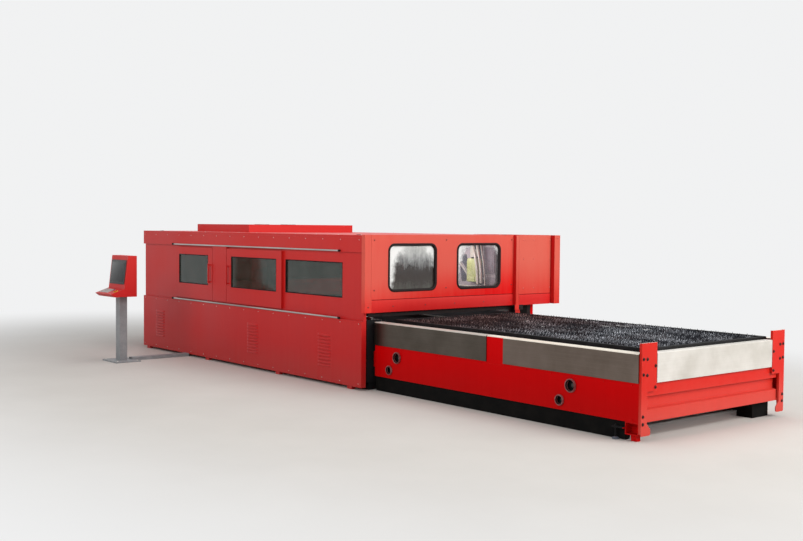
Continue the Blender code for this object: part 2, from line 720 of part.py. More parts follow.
cover = box(x - 0.10, carriage_x + 0.020, y - 0.120, y + 0.120, GANTRY_TOP + 0.006, carriage_top - 0.050)
make("y_carriage", [carriage, cover], colour=GREY, origin=(carriage_x, y, carriage_bottom + 0.110))
slide_x = carriage_x + 0.040 + GAP
slide = box(slide_x, slide_x + 0.045, y - 0.090, y + 0.090, carriage_bottom + 0.140, carriage_top + 0.070)
slide_middle = (carriage_bottom + carriage_top) / 2 + 0.105
make("z_slide", [slide], colour=STEEL, roughness=0.35, metallic=1.0, origin=(slide_x, y, slide_middle))
head_x = slide_x + 0.045 + GAP
middle_x = head_x + 0.042
low = HEAD_BOTTOM
block = box(head_x, head_x + 0.084, y - 0.045, y + 0.045, low + 0.070, low + 0.355)
neck = rod("z", middle_x, y, 0.030, low + 0.040, low + 0.075)
tip = rod("z", middle_x, y, 0.014, low + 0.012, low + 0.042)
nozzle = rod("z", middle_x, y, 0.007, low, low + 0.014, 16)
make("cutting_head", [block, neck, tip, nozzle], colour=BLACK, roughness=0.4, origin=(middle_x, y, low))

# Hood front with two rounded windows, each held in a rubber seal
hood = box(HOOD_BACK, HOOD_FACE, HOOD_NEAR, HOOD_FAR, HOOD_BOTTOM, HOOD_TOP)
windows = []
for near in (HOOD_NEAR + WINDOW_NEAR_MARGIN, HOOD_FAR - WINDOW_FAR_MARGIN - WINDOW_WIDTH):
    low = HOOD_BOTTOM + WINDOW_RISE
    windows.append((near, near + WINDOW_WIDTH, low, low + WINDOW_HEIGHT))
cuts = [prism(rounded(*w, WINDOW_RADIUS), "x", HOOD_BACK - 0.05, HOOD_FACE + 0.05) for w in windows]
low, high = HOOD_SEAM - 0.002, HOOD_SEAM + 0.002
seam = box(HOOD_FACE - 0.005, HOOD_FACE + 0.01, HOOD_NEAR - 0.01, HOOD_FAR + 0.01, low, high)
near, far = HOOD_NEAR + 0.099, HOOD_NEAR + 0.102
flange = box(HOOD_FACE - 0.004, HOOD_FACE + 0.01, near, far, HOOD_SEAM, HOOD_TOP + 0.01)
make("hood_front", [hood], cuts + [seam, flange])
for i, (a0, a1, b0, b1) in enumerate(windows, 1):
    outer = rounded(a0 + GAP, a1 - GAP, b0 + GAP, b1 - GAP, WINDOW_RADIUS)
    w = SEAL_WIDTH
    inner = rounded(a0 + w, a1 - w, b0 + w, b1 - w, WINDOW_RADIUS - w)
    seal = ring(outer, inner, "x", HOOD_BACK - 0.004, HOOD_FACE + 0.006)
    make("hood_seal_%d" % i, [seal], colour=BLACK, roughness=0.8)
    w = SEAL_WIDTH + GAP
    pane = rounded(a0 + w, a1 - w, b0 + w, b1 - w, WINDOW_RADIUS - w)
    make("hood_glass_%d" % i, [prism(pane, "x", 0.000, GLASS)], colour=(0.05, 0.06, 0.06), roughness=0.05)
back = HOOD_BACK + 0.010
curtain = box(back, back + 0.006, 0.120, HOOD_FAR - 0.02, HOOD_BOTTOM - 0.060, HOOD_BOTTOM - GAP)
make("entry_curtain", [curtain], colour=BLACK, roughness=0.8)

# Side box beside the hood, with its proud corner strip and the square post that carries it
near = SIDE_BOX_NEAR
cap = box(HOOD_BACK, SIDE_BOX_FACE, near, CORNER_NEAR - 0.01, HOOD_BOTTOM, HOOD_TOP)
low, high = HOOD_BOTTOM + 0.001, HOOD_TOP - 0.001
body = box(SIDE_BOX_END, SIDE_BOX_FACE - 0.01, CABIN_FAR + GAP, SIDE_BOX_FAR - 0.03, low, high)
corner = box(SIDE_BOX_FACE - 0.03, CORNER_FACE, CORNER_NEAR, SIDE_BOX_FAR, low + 0.001, high - 0.001)
post = box(HOOD_BACK + 0.001, HOOD_FACE, near, near + SIDE_POST_WIDTH, 0, HOOD_BOTTOM + 0.01)
post_head = box(
    HOOD_BACK + 0.002,
    SIDE_BOX_FACE,
    near,
    near + SIDE_POST_WIDTH - 0.001,
    HOOD_BOTTOM - 0.065,
    HOOD_BOTTOM + 0.01,
)
z = HOOD_SEAM - 0.020
seam = box(SIDE_BOX_FACE - 0.005, SIDE_BOX_FACE + 0.01, near - 0.01, CORNER_NEAR, z - 0.002, z + 0.002)
bay = box(
    SIDE_BOX_END + 0.03,
    SIDE_BOX_FACE - 0.04,
    CABIN_FAR + 0.03,
    SIDE_BOX_FAR - 0.06,
    HOOD_BOTTOM - 0.1,
    HOOD_TOP - 0.03,
)
make("side_box", [cap, body, corner, post, post_head], [seam, bay])
near = SIDE_BOX_NEAR + SIDE_POST_WIDTH + GAP
filler = box(HOOD_BACK + 0.008, HOOD_BACK + 0.018, near, far_wall - GAP, 0, HOOD_BOTTOM - GAP)
make("filler_panel", [filler], colour=BLACK, roughness=0.6)

# Near side of the cabin: lower cladding, recessed wall with the door and window openings, top band
front = HOOD_BACK - GAP
inner = CABIN_NEAR + DOOR_RECESS + CABIN_WALL
wall_face = CABIN_NEAR + DOOR_RECESS
lower = box(CABIN_END, front, CABIN_NEAR, inner, 0.040, SILL_LOW)
recessed = box(CABIN_END, front, wall_face, inner, SILL_LOW - 0.01, CABIN_TOP - 0.01)
band = box(CABIN_END, front, CABIN_NEAR, inner, BAND_LOW, CABIN_TOP)
between = REAR_DOOR[1] + 0.010, FRONT_DOOR[0] - 0.010
pillar = box(*between, CABIN_NEAR, inner, SILL_LOW + 0.045, BAND_LOW + 0.01)
foot_x = CABIN_END + 0.16, -4.0, -2.0, HOOD_BACK - 0.26
wall_feet = [box(x - 0.05, x + 0.05, CABIN_NEAR + 0.01, inner - 0.01, 0, 0.085) for x in foot_x]
cut = CABIN_NEAR - 0.1, inner + 0.1
openings = [
    box(FRONT_DOOR[0] + 0.05, FRONT_DOOR[1] - 0.05, *cut, DOOR_LOW + 0.025, DOOR_HIGH - 0.030),
    box(REAR_DOOR[0] + 0.05, REAR_DOOR[1] - 0.05, *cut, DOOR_LOW + 0.025, DOOR_HIGH - 0.030),
    box(FRONT_DOOR[1] + 0.050, HOOD_BACK - 0.460, *cut, PANE_LOW, PANE_HIGH),
]
make("cabin_near", [lower, recessed, band, pillar, gather(wall_feet)], openings)
glass = box(
    FRONT_DOOR[1] + 0.050 + GAP,
    HOOD_BACK - 0.460 - GAP,
    inner - 0.020,
    inner - 0.020 + GLASS,
    PANE_LOW + GAP,
    PANE_HIGH - GAP,
)
make("side_glass_fixed", [glass], colour=(0.05, 0.06, 0.06), roughness=0.05)

# Sliding doors that run outside the recessed wall
for name, (a, b), grip in (("door_front", FRONT_DOOR, 1), ("door_rear", REAR_DOOR, -1)):
    leaf = box(a, b, CABIN_NEAR, wall_face - 0.0005, DOOR_LOW, DOOR_HIGH)
    pane = (a + 0.130, b - 0.130, PANE_LOW, PANE_HIGH)
    hole = box(pane[0], pane[1], CABIN_NEAR - 0.1, wall_face + 0.1, pane[2], pane[3])
    at = a + 0.055 if grip > 0 else b - 0.055
    low, high = PANE_LOW + 0.035, PANE_LOW + 0.335
    bar = box(at - 0.012, at + 0.012, CABIN_NEAR - 0.045, CABIN_NEAR - 0.030, low, high)
    stems = [
        box(at - 0.009, at + 0.009, CABIN_NEAR - 0.035, CABIN_NEAR + 0.005, z - 0.010, z + 0.010)
        for z in (low + 0.020, high - 0.020)
    ]
    make(name, [leaf, gather(stems), bar], [hole], origin=(a, CABIN_NEAR, DOOR_LOW))
    back = CABIN_NEAR + 0.014
    glass = box(pane[0] + GAP, pane[1] - GAP, back, back + GLASS, pane[2] + GAP, pane[3] - GAP)
    make(name + "_glass", [glass], colour=(0.05, 0.06, 0.06), roughness=0.05)

# Far side, rear wall and roof of the cabin
panel = box(CABIN_END, front, far_wall, CABIN_FAR, 0.080, CABIN_TOP)
far_feet = [box(x - 0.05, x + 0.05, far_wall + 0.005, CABIN_FAR - 0.005, 0, 0.085) for x in foot_x]
cut = CABIN_FAR - 0.004, CABIN_FAR + 0.01
far_seams = [box(x - 0.002, x + 0.002, *cut, 0.05, ROOF_TOP + 0.1) for x in (CABIN_END + 1.26, -3.7, -2.5)]
far_seams.append(box(CABIN_END - 0.01, front - 0.06, *cut, SILL_LOW + 0.058, SILL_LOW + 0.062))
make("cabin_far", [panel, gather(far_feet)], far_seams)
rear = box(CABIN_END, CABIN_END + CABIN_WALL, inner + GAP, far_wall - GAP, 0.080, CABIN_TOP)
make("cabin_rear", [rear])
roof = box(CABIN_END, front, CABIN_NEAR, CABIN_FAR, CABIN_TOP + GAP, ROOF_TOP)
near, far = CABIN_NEAR + 0.500, CABIN_FAR - 0.530
raised = box(CABIN_END + 0.96, -3.580, near, far, ROOF_TOP - 0.010, ROOF_TOP + 0.120)
make("cabin_roof", [roof, raised])

# Rear cabinet with two hinged doors
front = CABIN_END
back = CABIN_END - REAR_CABINET_DEPTH
near, far = REAR_CABINET_NEAR, TABLE_WIDTH - 0.150
middle = (near + far) / 2
high = REAR_CABINET_TOP
cabinet = box(back, front - GAP, near, far, 0, high)
bays = [
    box(back - 0.01, front - 0.03, a, b, 0.130, high - 0.050)
    for a, b in ((near + 0.040, middle - 0.012), (middle + 0.012, far - 0.040))
]
racks = [
    box(back + 0.400, front - 0.02, near + 0.100, middle - 0.070, z, z + 0.300)
    for z in (0.30, 0.78, 1.26)
]
racks.append(box(back + 0.200, front - 0.02, middle + 0.120, far - 0.150, 0.120, 0.900))
make("rear_cabinet", [cabinet], [gather(bays)], later=[gather(racks)])
leaves = (
    ("cabinet_door_near", near + 0.020, middle - 0.002, middle - 0.060, near + 0.012),
    ("cabinet_door_far", middle + 0.002, far - 0.020, middle + 0.060, far - 0.012),
)
for name, a, b, grip, hinge in leaves:
    leaf = box(back - 0.020, back - GAP, a, b, 0.120, high - 0.040)
    handle = box(back - 0.040, back - 0.015, grip - 0.012, grip + 0.012, 0.900, 1.050)
    make(name, [leaf, handle], origin=(back - 0.025, hinge, 0.120))

# Operator console on its pedestal, tied to the cabin by a floor duct
x = CONSOLE_X
y = CONSOLE_Y
base = box(x - 0.250, x + 0.250, y - 0.200, y + 0.200, 0, 0.020)
column = box(x - 0.070, x + 0.070, y - 0.060, y + 0.060, 0.015, 0.990)
collar = rod("z", x, y, 0.085, 0.985, 1.000, 32)
duct = box(x - 0.060, x + 0.060, y + 0.150, CABIN_NEAR - GAP, 0, 0.050)
make("console_stand", [base, column, collar, duct], colour=GREY, roughness=0.6)
profile = [
    (y + 0.120, 1.000 + GAP),
    (y - 0.240, 1.000 + GAP),
    (y - 0.300, 1.045),
    (y - 0.080, 1.120),
    (y - 0.020, 1.620),
    (y + 0.120, 1.620),
]
half = CONSOLE_WIDTH / 2
console = prism(profile, "x", x - half, x + half)
slope = Vector((0, 0.220, 0.075)).normalized()
normal = Vector((0, -slope.z, slope.y))
seat = Vector((x + 0.200, y - 0.300, 1.045)) + slope * 0.120
well = rod("z", 0, 0, 0.0165, -0.020, 0.02)
tilt = Matrix.Translation(seat) @ normal.to_track_quat("Z", "Y").to_matrix().to_4x4()
well.transform(tilt)
make("console_head", [console], [well], origin=(x, y, 1.000))
stem = rod("z", 0, 0, 0.0155, -0.010, 0.012)
knob = rod("z", 0, 0, 0.024, 0.010, 0.026, 32)
for mesh in (stem, knob):
    mesh.transform(tilt)
make("stop_button", [stem, knob], colour=(0.5, 0.01, 0.01), origin=tuple(seat))

# Centre the whole machine over the origin
corners = []
for shape in bpy.data.objects:
    corners += [shape.matrix_basis @ v.co for v in shape.data.vertices]
low = [min(c[i] for c in corners) for i in range(3)]
high = [max(c[i] for c in corners) for i in range(3)]
shift = Vector((-(low[0] + high[0]) / 2, -(low[1] + high[1]) / 2, -low[2]))
for shape in bpy.data.objects:
    shape.location += shift
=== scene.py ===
"""Looks of a fiber laser cutting machine with a lifting two-pallet exchange table."""
import math

import bmesh
import bpy
import numpy as np
from mathutils import Matrix, Vector


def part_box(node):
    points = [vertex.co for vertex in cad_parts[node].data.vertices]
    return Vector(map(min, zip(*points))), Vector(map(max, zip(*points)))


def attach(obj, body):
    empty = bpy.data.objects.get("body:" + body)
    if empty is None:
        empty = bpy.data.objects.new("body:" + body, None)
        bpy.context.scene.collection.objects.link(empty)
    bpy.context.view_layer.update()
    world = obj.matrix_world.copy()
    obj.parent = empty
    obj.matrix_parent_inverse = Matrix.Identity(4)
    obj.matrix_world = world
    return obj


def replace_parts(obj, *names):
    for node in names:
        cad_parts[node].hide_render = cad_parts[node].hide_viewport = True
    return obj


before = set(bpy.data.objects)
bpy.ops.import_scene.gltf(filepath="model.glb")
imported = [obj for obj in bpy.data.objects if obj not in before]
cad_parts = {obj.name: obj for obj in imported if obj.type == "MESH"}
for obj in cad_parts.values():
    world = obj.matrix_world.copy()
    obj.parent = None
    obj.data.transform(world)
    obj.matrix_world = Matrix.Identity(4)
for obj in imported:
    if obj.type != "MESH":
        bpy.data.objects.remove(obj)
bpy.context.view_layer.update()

# ---------------------------------------------------------------------------------------------
# Camera: stands off the near corner of the exchange table at a little over head height and looks
# along the machine, as the photograph does.
CAMERA_AT = (12.1628, -9.3749, 2.12)
yaw, pitch, roll = math.radians(39.4767), math.radians(2.3932), math.radians(0.5105)
ahead = Vector((-math.cos(yaw) * math.cos(pitch), math.sin(yaw) * math.cos(pitch), -math.sin(pitch)))
right = Vector((math.sin(yaw), math.cos(yaw), 0))
above = right.cross(ahead)
right, above = (
    right * math.cos(roll) + above * math.sin(roll),
    above * math.cos(roll) - right * math.sin(roll),
)
lens = bpy.data.cameras.new("camera")
lens.sensor_width = 36
lens.lens = 48.6
lens.clip_end = 200
camera = bpy.data.objects.new("camera", lens)
bpy.context.collection.objects.link(camera)
facing_out = Matrix((right, above, -ahead)).transposed().to_4x4()
camera.matrix_world = Matrix.Translation(CAMERA_AT) @ facing_out
bpy.context.scene.camera = camera

# ---------------------------------------------------------------------------------------------
# Studio: a plain pale floor that runs out into a white surround, a wide soft lamp beyond the
# table's end, a weaker one on the near side, and one overhead.
WHITE = (0.88, 0.885, 0.89)
world = bpy.data.worlds.new("surround")
bpy.context.scene.world = world
world.use_nodes = True


def feed(tree, target, **inputs):
    """Sets or links input sockets of a node, by their names or by numbers after an underscore."""
    for key, value in inputs.items():
        socket = target.inputs[int(key[1:]) if key[0] == "_" else key.replace("_", " ")]
        if isinstance(value, bpy.types.NodeSocket):
            tree.links.new(value, socket)
        else:
            socket.default_value = value


def node(tree, kind, settings=None, **inputs):
    """One shader node in a tree, with its settings by name and its inputs as feed takes them."""
    made = tree.nodes.new("ShaderNode" + kind)
    for key, value in (settings or {}).items():
        setattr(made, key, value)
    feed(tree, made, **inputs)
    return made


def maths(tree, operation, *terms, clamp=False):
    """The result of one sum on numbers."""
    sockets = {"_%d" % i: term for i, term in enumerate(terms)}
    return node(tree, "Math", {"operation": operation, "use_clamp": clamp}, **sockets).outputs[0]


def fit(tree, value, low=0.0, high=1.0, to=(0.0, 1.0), smooth=False, clamp=True):
    """A number carried from the range low to high over to another range."""
    settings = {"interpolation_type": "SMOOTHSTEP" if smooth else "LINEAR", "clamp": clamp}
    ranges = {"From_Min": low, "From_Max": high, "To_Min": to[0], "To_Max": to[1]}
    return node(tree, "MapRange", settings, Value=value, **ranges).outputs[0]


def noise(tree, at, scale, detail, roughness=0.5):
    """A cloudy number from 0 to 1 at a place."""
    return node(tree, "TexNoise", Vector=at, Scale=scale, Detail=detail, Roughness=roughness).outputs["Fac"]


def stretched(tree, at, *scale):
    """A place with each axis scaled on its own."""
    return node(tree, "Mapping", Vector=at, Scale=scale).outputs[0]


def blend(tree, share, first, second):
    """A colour between two others, of which either can come from a node."""
    ends = [c if isinstance(c, bpy.types.NodeSocket) else (*c, 1) for c in (first, second)]
    return node(tree, "Mix", {"data_type": "RGBA"}, _0=share, _6=ends[0], _7=ends[1]).outputs[2]


def ramp(tree, value, stops):
    """A colour read off stops, which are pairs of a number and a colour."""
    made = node(tree, "ValToRGB", Fac=value)
    elements = made.color_ramp.elements
    for place, _ in stops[1:-1]:
        elements.new(place)
    for element, (place, tone) in zip(elements, stops):
        element.position, element.color = place, (*tone, 1)
    return made.outputs["Color"]


def seen(tree):
    """1 for rays straight from the camera, mirrored or passed through glass, else 0."""
    path = node(tree, "LightPath").outputs
    direct = maths(tree, "MAXIMUM", path["Is Camera Ray"], path["Is Glossy Ray"])
    return maths(tree, "MAXIMUM", direct, path["Is Transmission Ray"])


sky = world.node_tree
sky.nodes.clear()
level = blend(sky, seen(sky), (0.34, 0.35, 0.36), WHITE)
lit = node(sky, "Background", Color=level, Strength=1.0)
node(sky, "OutputWorld", Surface=lit.outputs[0])

for name, place, aim, size, watts, tint in (
    ("end light", (15.0, 4.0, 7.0), (0, 0, 0.8), (12, 7), 1760, (1.0, 0.99, 0.97)),
    ("near light", (3.0, -15.0, 8.0), (0, 0, 0.6), (14, 6), 900, (1.0, 0.99, 0.98)),
    ("top light", (1.0, 1.0, 11.0), (1.0, 0, 0), (10, 8), 560, (1.0, 1.0, 1.0)),
):
    lamp = bpy.data.lights.new(name, "AREA")
    lamp.shape = "RECTANGLE"
    lamp.size, lamp.size_y = size
    lamp.energy = watts
    lamp.color = tint
    stand = bpy.data.objects.new(name, lamp)
    bpy.context.collection.objects.link(stand)
    stand.location = place
    stand.rotation_mode = "QUATERNION"
    stand.rotation_quaternion = (Vector(aim) - Vector(place)).to_track_quat("-Z", "Y")

floor_mesh = bpy.data.meshes.new("floor")
floor_mesh.from_pydata([(-60, -60, 0), (60, -60, 0), (60, 60, 0), (-60, 60, 0)], [], [(0, 1, 2, 3)])
floor = bpy.data.objects.new("floor", floor_mesh)
bpy.context.collection.objects.link(floor)
concrete = bpy.data.materials.new("pale floor")
concrete.use_nodes = True
ground = concrete.node_tree
shade = ground.nodes["Principled BSDF"]
spot = node(ground, "TexCoord").outputs["Object"]
cloudy = noise(ground, spot, 0.7, 6.0, 0.6)
tone = ramp(ground, cloudy, ((0.0, (0.54, 0.515, 0.48)), (1.0, (0.64, 0.615, 0.58))))
feed(ground, shade, Base_Color=tone, Roughness=0.7, Specular_IOR_Level=0.2)
drawn_in = stretched(ground, spot, 0.62, 1.0, 1.0)
away = node(ground, "VectorMath", {"operation": "LENGTH"}, _0=drawn_in).outputs["Value"]
veil = maths(ground, "MULTIPLY", fit(ground, away, 3.5, 8.4, smooth=True), seen(ground))
glow = node(ground, "Emission", Color=(*WHITE, 1), Strength=1.0)
mixed = node(ground, "MixShader", _0=veil, _1=shade.outputs[0], _2=glow.outputs[0])
feed(ground, ground.nodes["Material Output"], Surface=mixed.outputs[0])
floor_mesh.materials.append(concrete)

# ---------------------------------------------------------------------------------------------
# Table frame: bent and welded channels in a deep red sprayed enamel, with faint orange peel, weak
# runs down the sheet, edges rubbed pale, dust low down and a painted highlight along the top
# chamfer. Lift frame and foot bracket match.


def shader_of(name):
    """A new material, with its tree, its shader and the object coordinates."""
    made = bpy.data.materials.new(name)
    made.use_nodes = True
    tree = made.node_tree
    return made, tree, tree.nodes["Principled BSDF"], node(tree, "TexCoord").outputs["Object"]


def edge_of(tree, radius):
    """A normal that is rounded at edges, and how far it has turned there, from 0 to 1."""
    rounded = node(tree, "Bevel", {"samples": 4}, Radius=radius).outputs[0]
    flat = node(tree, "NewGeometry").outputs["Normal"]
    turn = node(tree, "VectorMath", {"operation": "DOT_PRODUCT"}, _0=rounded, _1=flat)
    return rounded, fit(tree, turn.outputs["Value"], 0.97, 0.8)


def facing(tree, axis):
    """How far the face looks along an axis, from -1 to 1."""
    return node(tree, "SeparateXYZ", Vector=node(tree, "NewGeometry").outputs["Normal"]).outputs[axis]


def relief(tree, height, strength, distance, **normal):
    """A normal bent by a fine relief."""
    return node(tree, "Bump", Height=height, Strength=strength, Distance=distance, **normal).outputs[0]


def enamel(
    name, low_colour, high_colour, low, high,
    gloss=0.5, roughness=0.38, dirt=0.25, highlight_top=None, lean=0.0, shaded_side_tone=None,
):
    """Two tones of the coat from height low to high, streaked, dusty at the foot, paler on edges, and
    painted pale as a highlight on what faces up above a given top height. lean shifts the fade across
    y, and faces turned from the front get a darker tone as painted shade where one is given."""
    made, tree, shader, spot = shader_of(name)
    height = node(tree, "SeparateXYZ", Vector=spot).outputs["Z"]
    shifted = node(tree, "VectorMath", {"operation": "DOT_PRODUCT"}, _0=spot, _1=(0.0, lean, 1.0))
    fade = fit(tree, shifted.outputs["Value"], low, high, smooth=True)
    runs = noise(tree, stretched(tree, spot, 9.0, 9.0, 0.5), 1.6, 5.0, 0.65)
    broad = noise(tree, spot, 1.3, 3.0)
    sway = maths(tree, "MULTIPLY_ADD", runs, 0.45, fade)
    sway = maths(tree, "MULTIPLY_ADD", broad, 0.5, sway)
    colour = blend(tree, fit(tree, sway, 0.4, 1.48), low_colour, high_colour)
    # Painted shade: faces turned away from +x take the darker tone.
    if shaded_side_tone:
        colour = blend(tree, fit(tree, facing(tree, "X"), 0.6, 0.3), colour, shaded_side_tone)
    specks = fit(tree, noise(tree, spot, 38.0, 8.0, 0.7), 0.66, 0.78)
    film = maths(tree, "MULTIPLY", runs, fit(tree, height, 0.45, 0.05))
    film = maths(tree, "MULTIPLY_ADD", specks, 0.5, film, clamp=True)
    colour = blend(tree, maths(tree, "MULTIPLY", film, dirt), colour, (0.2, 0.11, 0.09))
    rounded, edge = edge_of(tree, 0.0025)
    colour = blend(tree, maths(tree, "MULTIPLY", edge, 0.22), colour, (0.8, 0.24, 0.18))
    # Painted highlight: what faces up near the top takes a pale cream.
    if highlight_top:
        near_top = fit(tree, height, highlight_top - 0.004, highlight_top)
        bare = maths(tree, "MULTIPLY", fit(tree, facing(tree, "Z"), 0.3, 0.6), near_top)
        colour = blend(tree, bare, colour, (0.86, 0.76, 0.66))
    dull = fit(tree, broad, 0.3, 0.7, (roughness - 0.06, roughness + 0.08))
    peel = maths(tree, "MULTIPLY_ADD", noise(tree, spot, 2.2, 1.0), 14.0, noise(tree, spot, 260.0, 2.0))
    bent = relief(tree, peel, 0.12, 0.0006, Normal=rounded)
    feed(tree, shader, Base_Color=colour, Roughness=dull, Normal=bent, Specular_IOR_Level=gloss)
    return made


def dress(material, *names):
    """Gives CAD nodes a finish in place of their plain one."""
    for name in names:
        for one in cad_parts[name].material_slots:
            one.material = material


# The frame's up-facing faces above 0.872 m are painted pale cream: a painted highlight on the top chamfer.
frame_red = enamel(
    "table frame red", (0.5, 0.0004, 0.0012), (0.66, 0.0006, 0.002), 0.2, 0.9,
    gloss=0.04, dirt=0.06, highlight_top=0.872,
)
dress(frame_red, "table_frame", "lift_frame", "foot_bracket")
# The end's tones grow paler and more orange toward the foot: a painted highlight on the low flange. Its
# up-facing faces above 0.978 m are painted pale cream as a highlight.
end_red = enamel(
    "table end red", (0.62, 0.05, 0.036), (0.58, 0.015, 0.008), 0.2, 0.56,
    gloss=0.14, dirt=0.3, highlight_top=0.978,
)
dress(end_red, "end_beam", "post_near", "post_far")

# ---------------------------------------------------------------------------------------------
# Screws and bolts of the table: round-headed socket screws below the trims, and dark hexagon
# bolts with washers that hold the end posts. Sizes are laid out from the corner where the near
# side of the table meets the cabin, on the floor.
TABLE_WIDTH, TABLE_END = 2.55, 4.225
CORNER = np.array(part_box("trim_near_front")[0]) - (0.035, -0.014, 0.585)


def skin(grid, wrap=False):
    """Points and faces of a net of rows and columns. The columns close into rings. The rows end in
    flat caps, or close as well where wrap is set. Axes before the last three repeat the net."""
    grid = np.asarray(grid, float)
    rows, columns = grid.shape[-3:-1]
    nets = grid.reshape(-1, rows, columns, 3)
    first = (np.arange(len(nets)) * rows * columns)[:, None, None]
    r = np.arange(rows if wrap else rows - 1)[:, None]
    c = np.arange(columns)[None, :]
    around = ((0, 0), (0, 1), (1, 1), (1, 0))
    spots = [first + (r + i) % rows * columns + (c + j) % columns for i, j in around]
    quads = np.stack(spots, -1).reshape(-1, 4).tolist()
    ring = np.arange(columns)
    last = (rows - 1) * columns
    caps = [] if wrap else [*(first[:, 0] + ring[::-1]).tolist(), *(first[:, 0] + last + ring).tolist()]
    return nets.reshape(-1, 3), quads + caps


def form(name, skins, material, body, sharp=40, tone=None):
    """One piece joined from several skins, turned outward, set at the machine's place and made to
    ride on a body. tone gives each point a number that its material can read."""
    points, faces, start = [], [], 0
    for spots, polygons in skins:
        points.append(spots)
        faces += [[start + i for i in face] for face in polygons]
        start += len(spots)
    mesh = bpy.data.meshes.new(name)
    mesh.from_pydata((np.concatenate(points) + CORNER).tolist(), [], faces)
    outward = bmesh.new()
    outward.from_mesh(mesh)
    bmesh.ops.recalc_face_normals(outward, faces=outward.faces)
    outward.to_mesh(mesh)
    outward.free()
    mesh.shade_smooth()
    mesh.set_sharp_from_angle(angle=math.radians(sharp))
    if tone is not None:
        tones = mesh.attributes.new("tone", "FLOAT", "POINT").data
        tones.foreach_set("value", np.asarray(tone, np.float32))
    mesh.materials.append(material)
    piece = bpy.data.objects.new(name, mesh)
    bpy.context.collection.objects.link(piece)
    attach(piece, body)
    return piece


def lathe(profile, base, along, count=24, flats=()):
    """A profile of (radius, distance) turned about a line from each base point along a direction:
    point = base + along * distance + radius * (across * cos + over * sin). The profile's rows that
    flats names get the six flats of a hexagon: their radius is divided by the cosine of the angle
    from the middle of the nearest flat."""
    base = np.atleast_2d(np.asarray(base, float))[:, None, None, :]
    along = np.asarray(along, float) / np.linalg.norm(along)
    across = np.cross(along, (0.0, 0.0, 1.0) if abs(along[2]) < 0.9 else (1.0, 0.0, 0.0))
    across /= np.linalg.norm(across)
    over = np.cross(along, across)
    radius, distance = np.asarray(profile, float).T[:, :, None, None]
    turn = np.arange(count) * 2 * math.pi / count
    widen = np.ones((len(profile), count))
    widen[list(flats)] = math.cos(math.pi / 6) / np.cos(turn % (math.pi / 3) - math.pi / 6)
    around = across * np.cos(turn)[:, None] + over * np.sin(turn)[:, None]
    return base + along * distance + around * radius * widen[:, :, None]


def turned(name, profile, base, along, material, body, count=24, closed=True, sharp=40):
    """One piece turned from a profile at each base point, closed into a tube or capped at its ends."""
    return form(name, [skin(lathe(profile, base, along, count), closed)], material, body, sharp)


def studs(name, steps, flats, spots, along, radius, material, body):
    """Small turned heads of one profile, given in radii, one at each spot."""
    profile = [(r * radius, t * radius) for r, t in steps]
    return form(name, [skin(lathe(profile, spots, along, 12, flats))], material, body)


def screws(name, spots, along, radius, material, body):
    """Round-headed screws with a hexagon socket, one at each spot, heads along a direction."""
    head = [(1.0, -0.1), (1.0, 0.3), (0.86, 0.62), (0.56, 0.8), (0.48, 0.79), (0.44, 0.3)]
    return studs(name, head, (4, 5), spots, along, radius, material, body)


def bolts(name, spots, along, radius, material, body):
    """Hexagon bolts on round washers."""
    head = [(1.55, -0.1), (1.55, 0.16), (1.48, 0.2), (1.04, 0.2), (1.04, 0.82), (0.88, 0.95), (0.5, 0.95)]
    return studs(name, head, (3, 4), spots, along, radius, material, body)


def coat(name, colour, pale, roughness=0.6, scale=6.0, metallic=0.0, gloss=0.5):
    """A coat or bare skin with broad and fine dull spots of a paler tone."""
    made, tree, shader, spot = shader_of(name)
    broad = noise(tree, spot, scale, 8.0, 0.7)
    rounded, edge = edge_of(tree, 0.002)
    share = maths(tree, "MULTIPLY_ADD", edge, 0.5, fit(tree, broad, 0.4, 0.75), clamp=True)
    dull = fit(tree, broad, to=(roughness - 0.15, roughness + 0.2))
    bent = relief(tree, noise(tree, spot, scale * 22, 4.0), 0.3, 0.0006, Normal=rounded)
    feed(tree, shader, Base_Color=blend(tree, share, colour, pale), Roughness=dull, Normal=bent)
    feed(tree, shader, Metallic=metallic, Specular_IOR_Level=gloss)
    return made


SIDE_FACE = -0.0005
zinc = coat(
    "zinc plated screws", (0.5, 0.49, 0.46), (0.72, 0.7, 0.66), roughness=0.35, scale=60.0, metallic=0.9
)
blackened = coat(
    "blackened bolts", (0.014, 0.01, 0.01), (0.07, 0.03, 0.026),
    roughness=0.5, scale=60.0, metallic=0.4, gloss=0.2,
)
below_trim = [(x, SIDE_FACE, 0.556) for x in np.linspace(0.13, 4.11, 12) if not 2.02 < x < 2.33]
below_trim += [(x, SIDE_FACE, 0.215) for x in np.linspace(0.13, 4.11, 7)]
screws("side_screws_near", below_trim, (0, -1, 0), 0.007, frame_red, "machine")
far_screws = [(x, TABLE_WIDTH - y, z) for x, y, z in below_trim]
screws("side_screws_far", far_screws, (0, 1, 0), 0.007, frame_red, "machine")
post_bolts = []
for y, heights in ((0.03, (0.179, 0.255, 0.671, 0.825)), (0.088, (0.662, 0.822)), (0.218, (0.536, 0.749))):
    post_bolts += [(TABLE_END, y, z) for z in heights]
post_bolts += [(x, TABLE_WIDTH - y, z) for x, y, z in post_bolts]
bolts("post_bolts", post_bolts, (1, 0, 0), 0.0115, blackened, "machine")
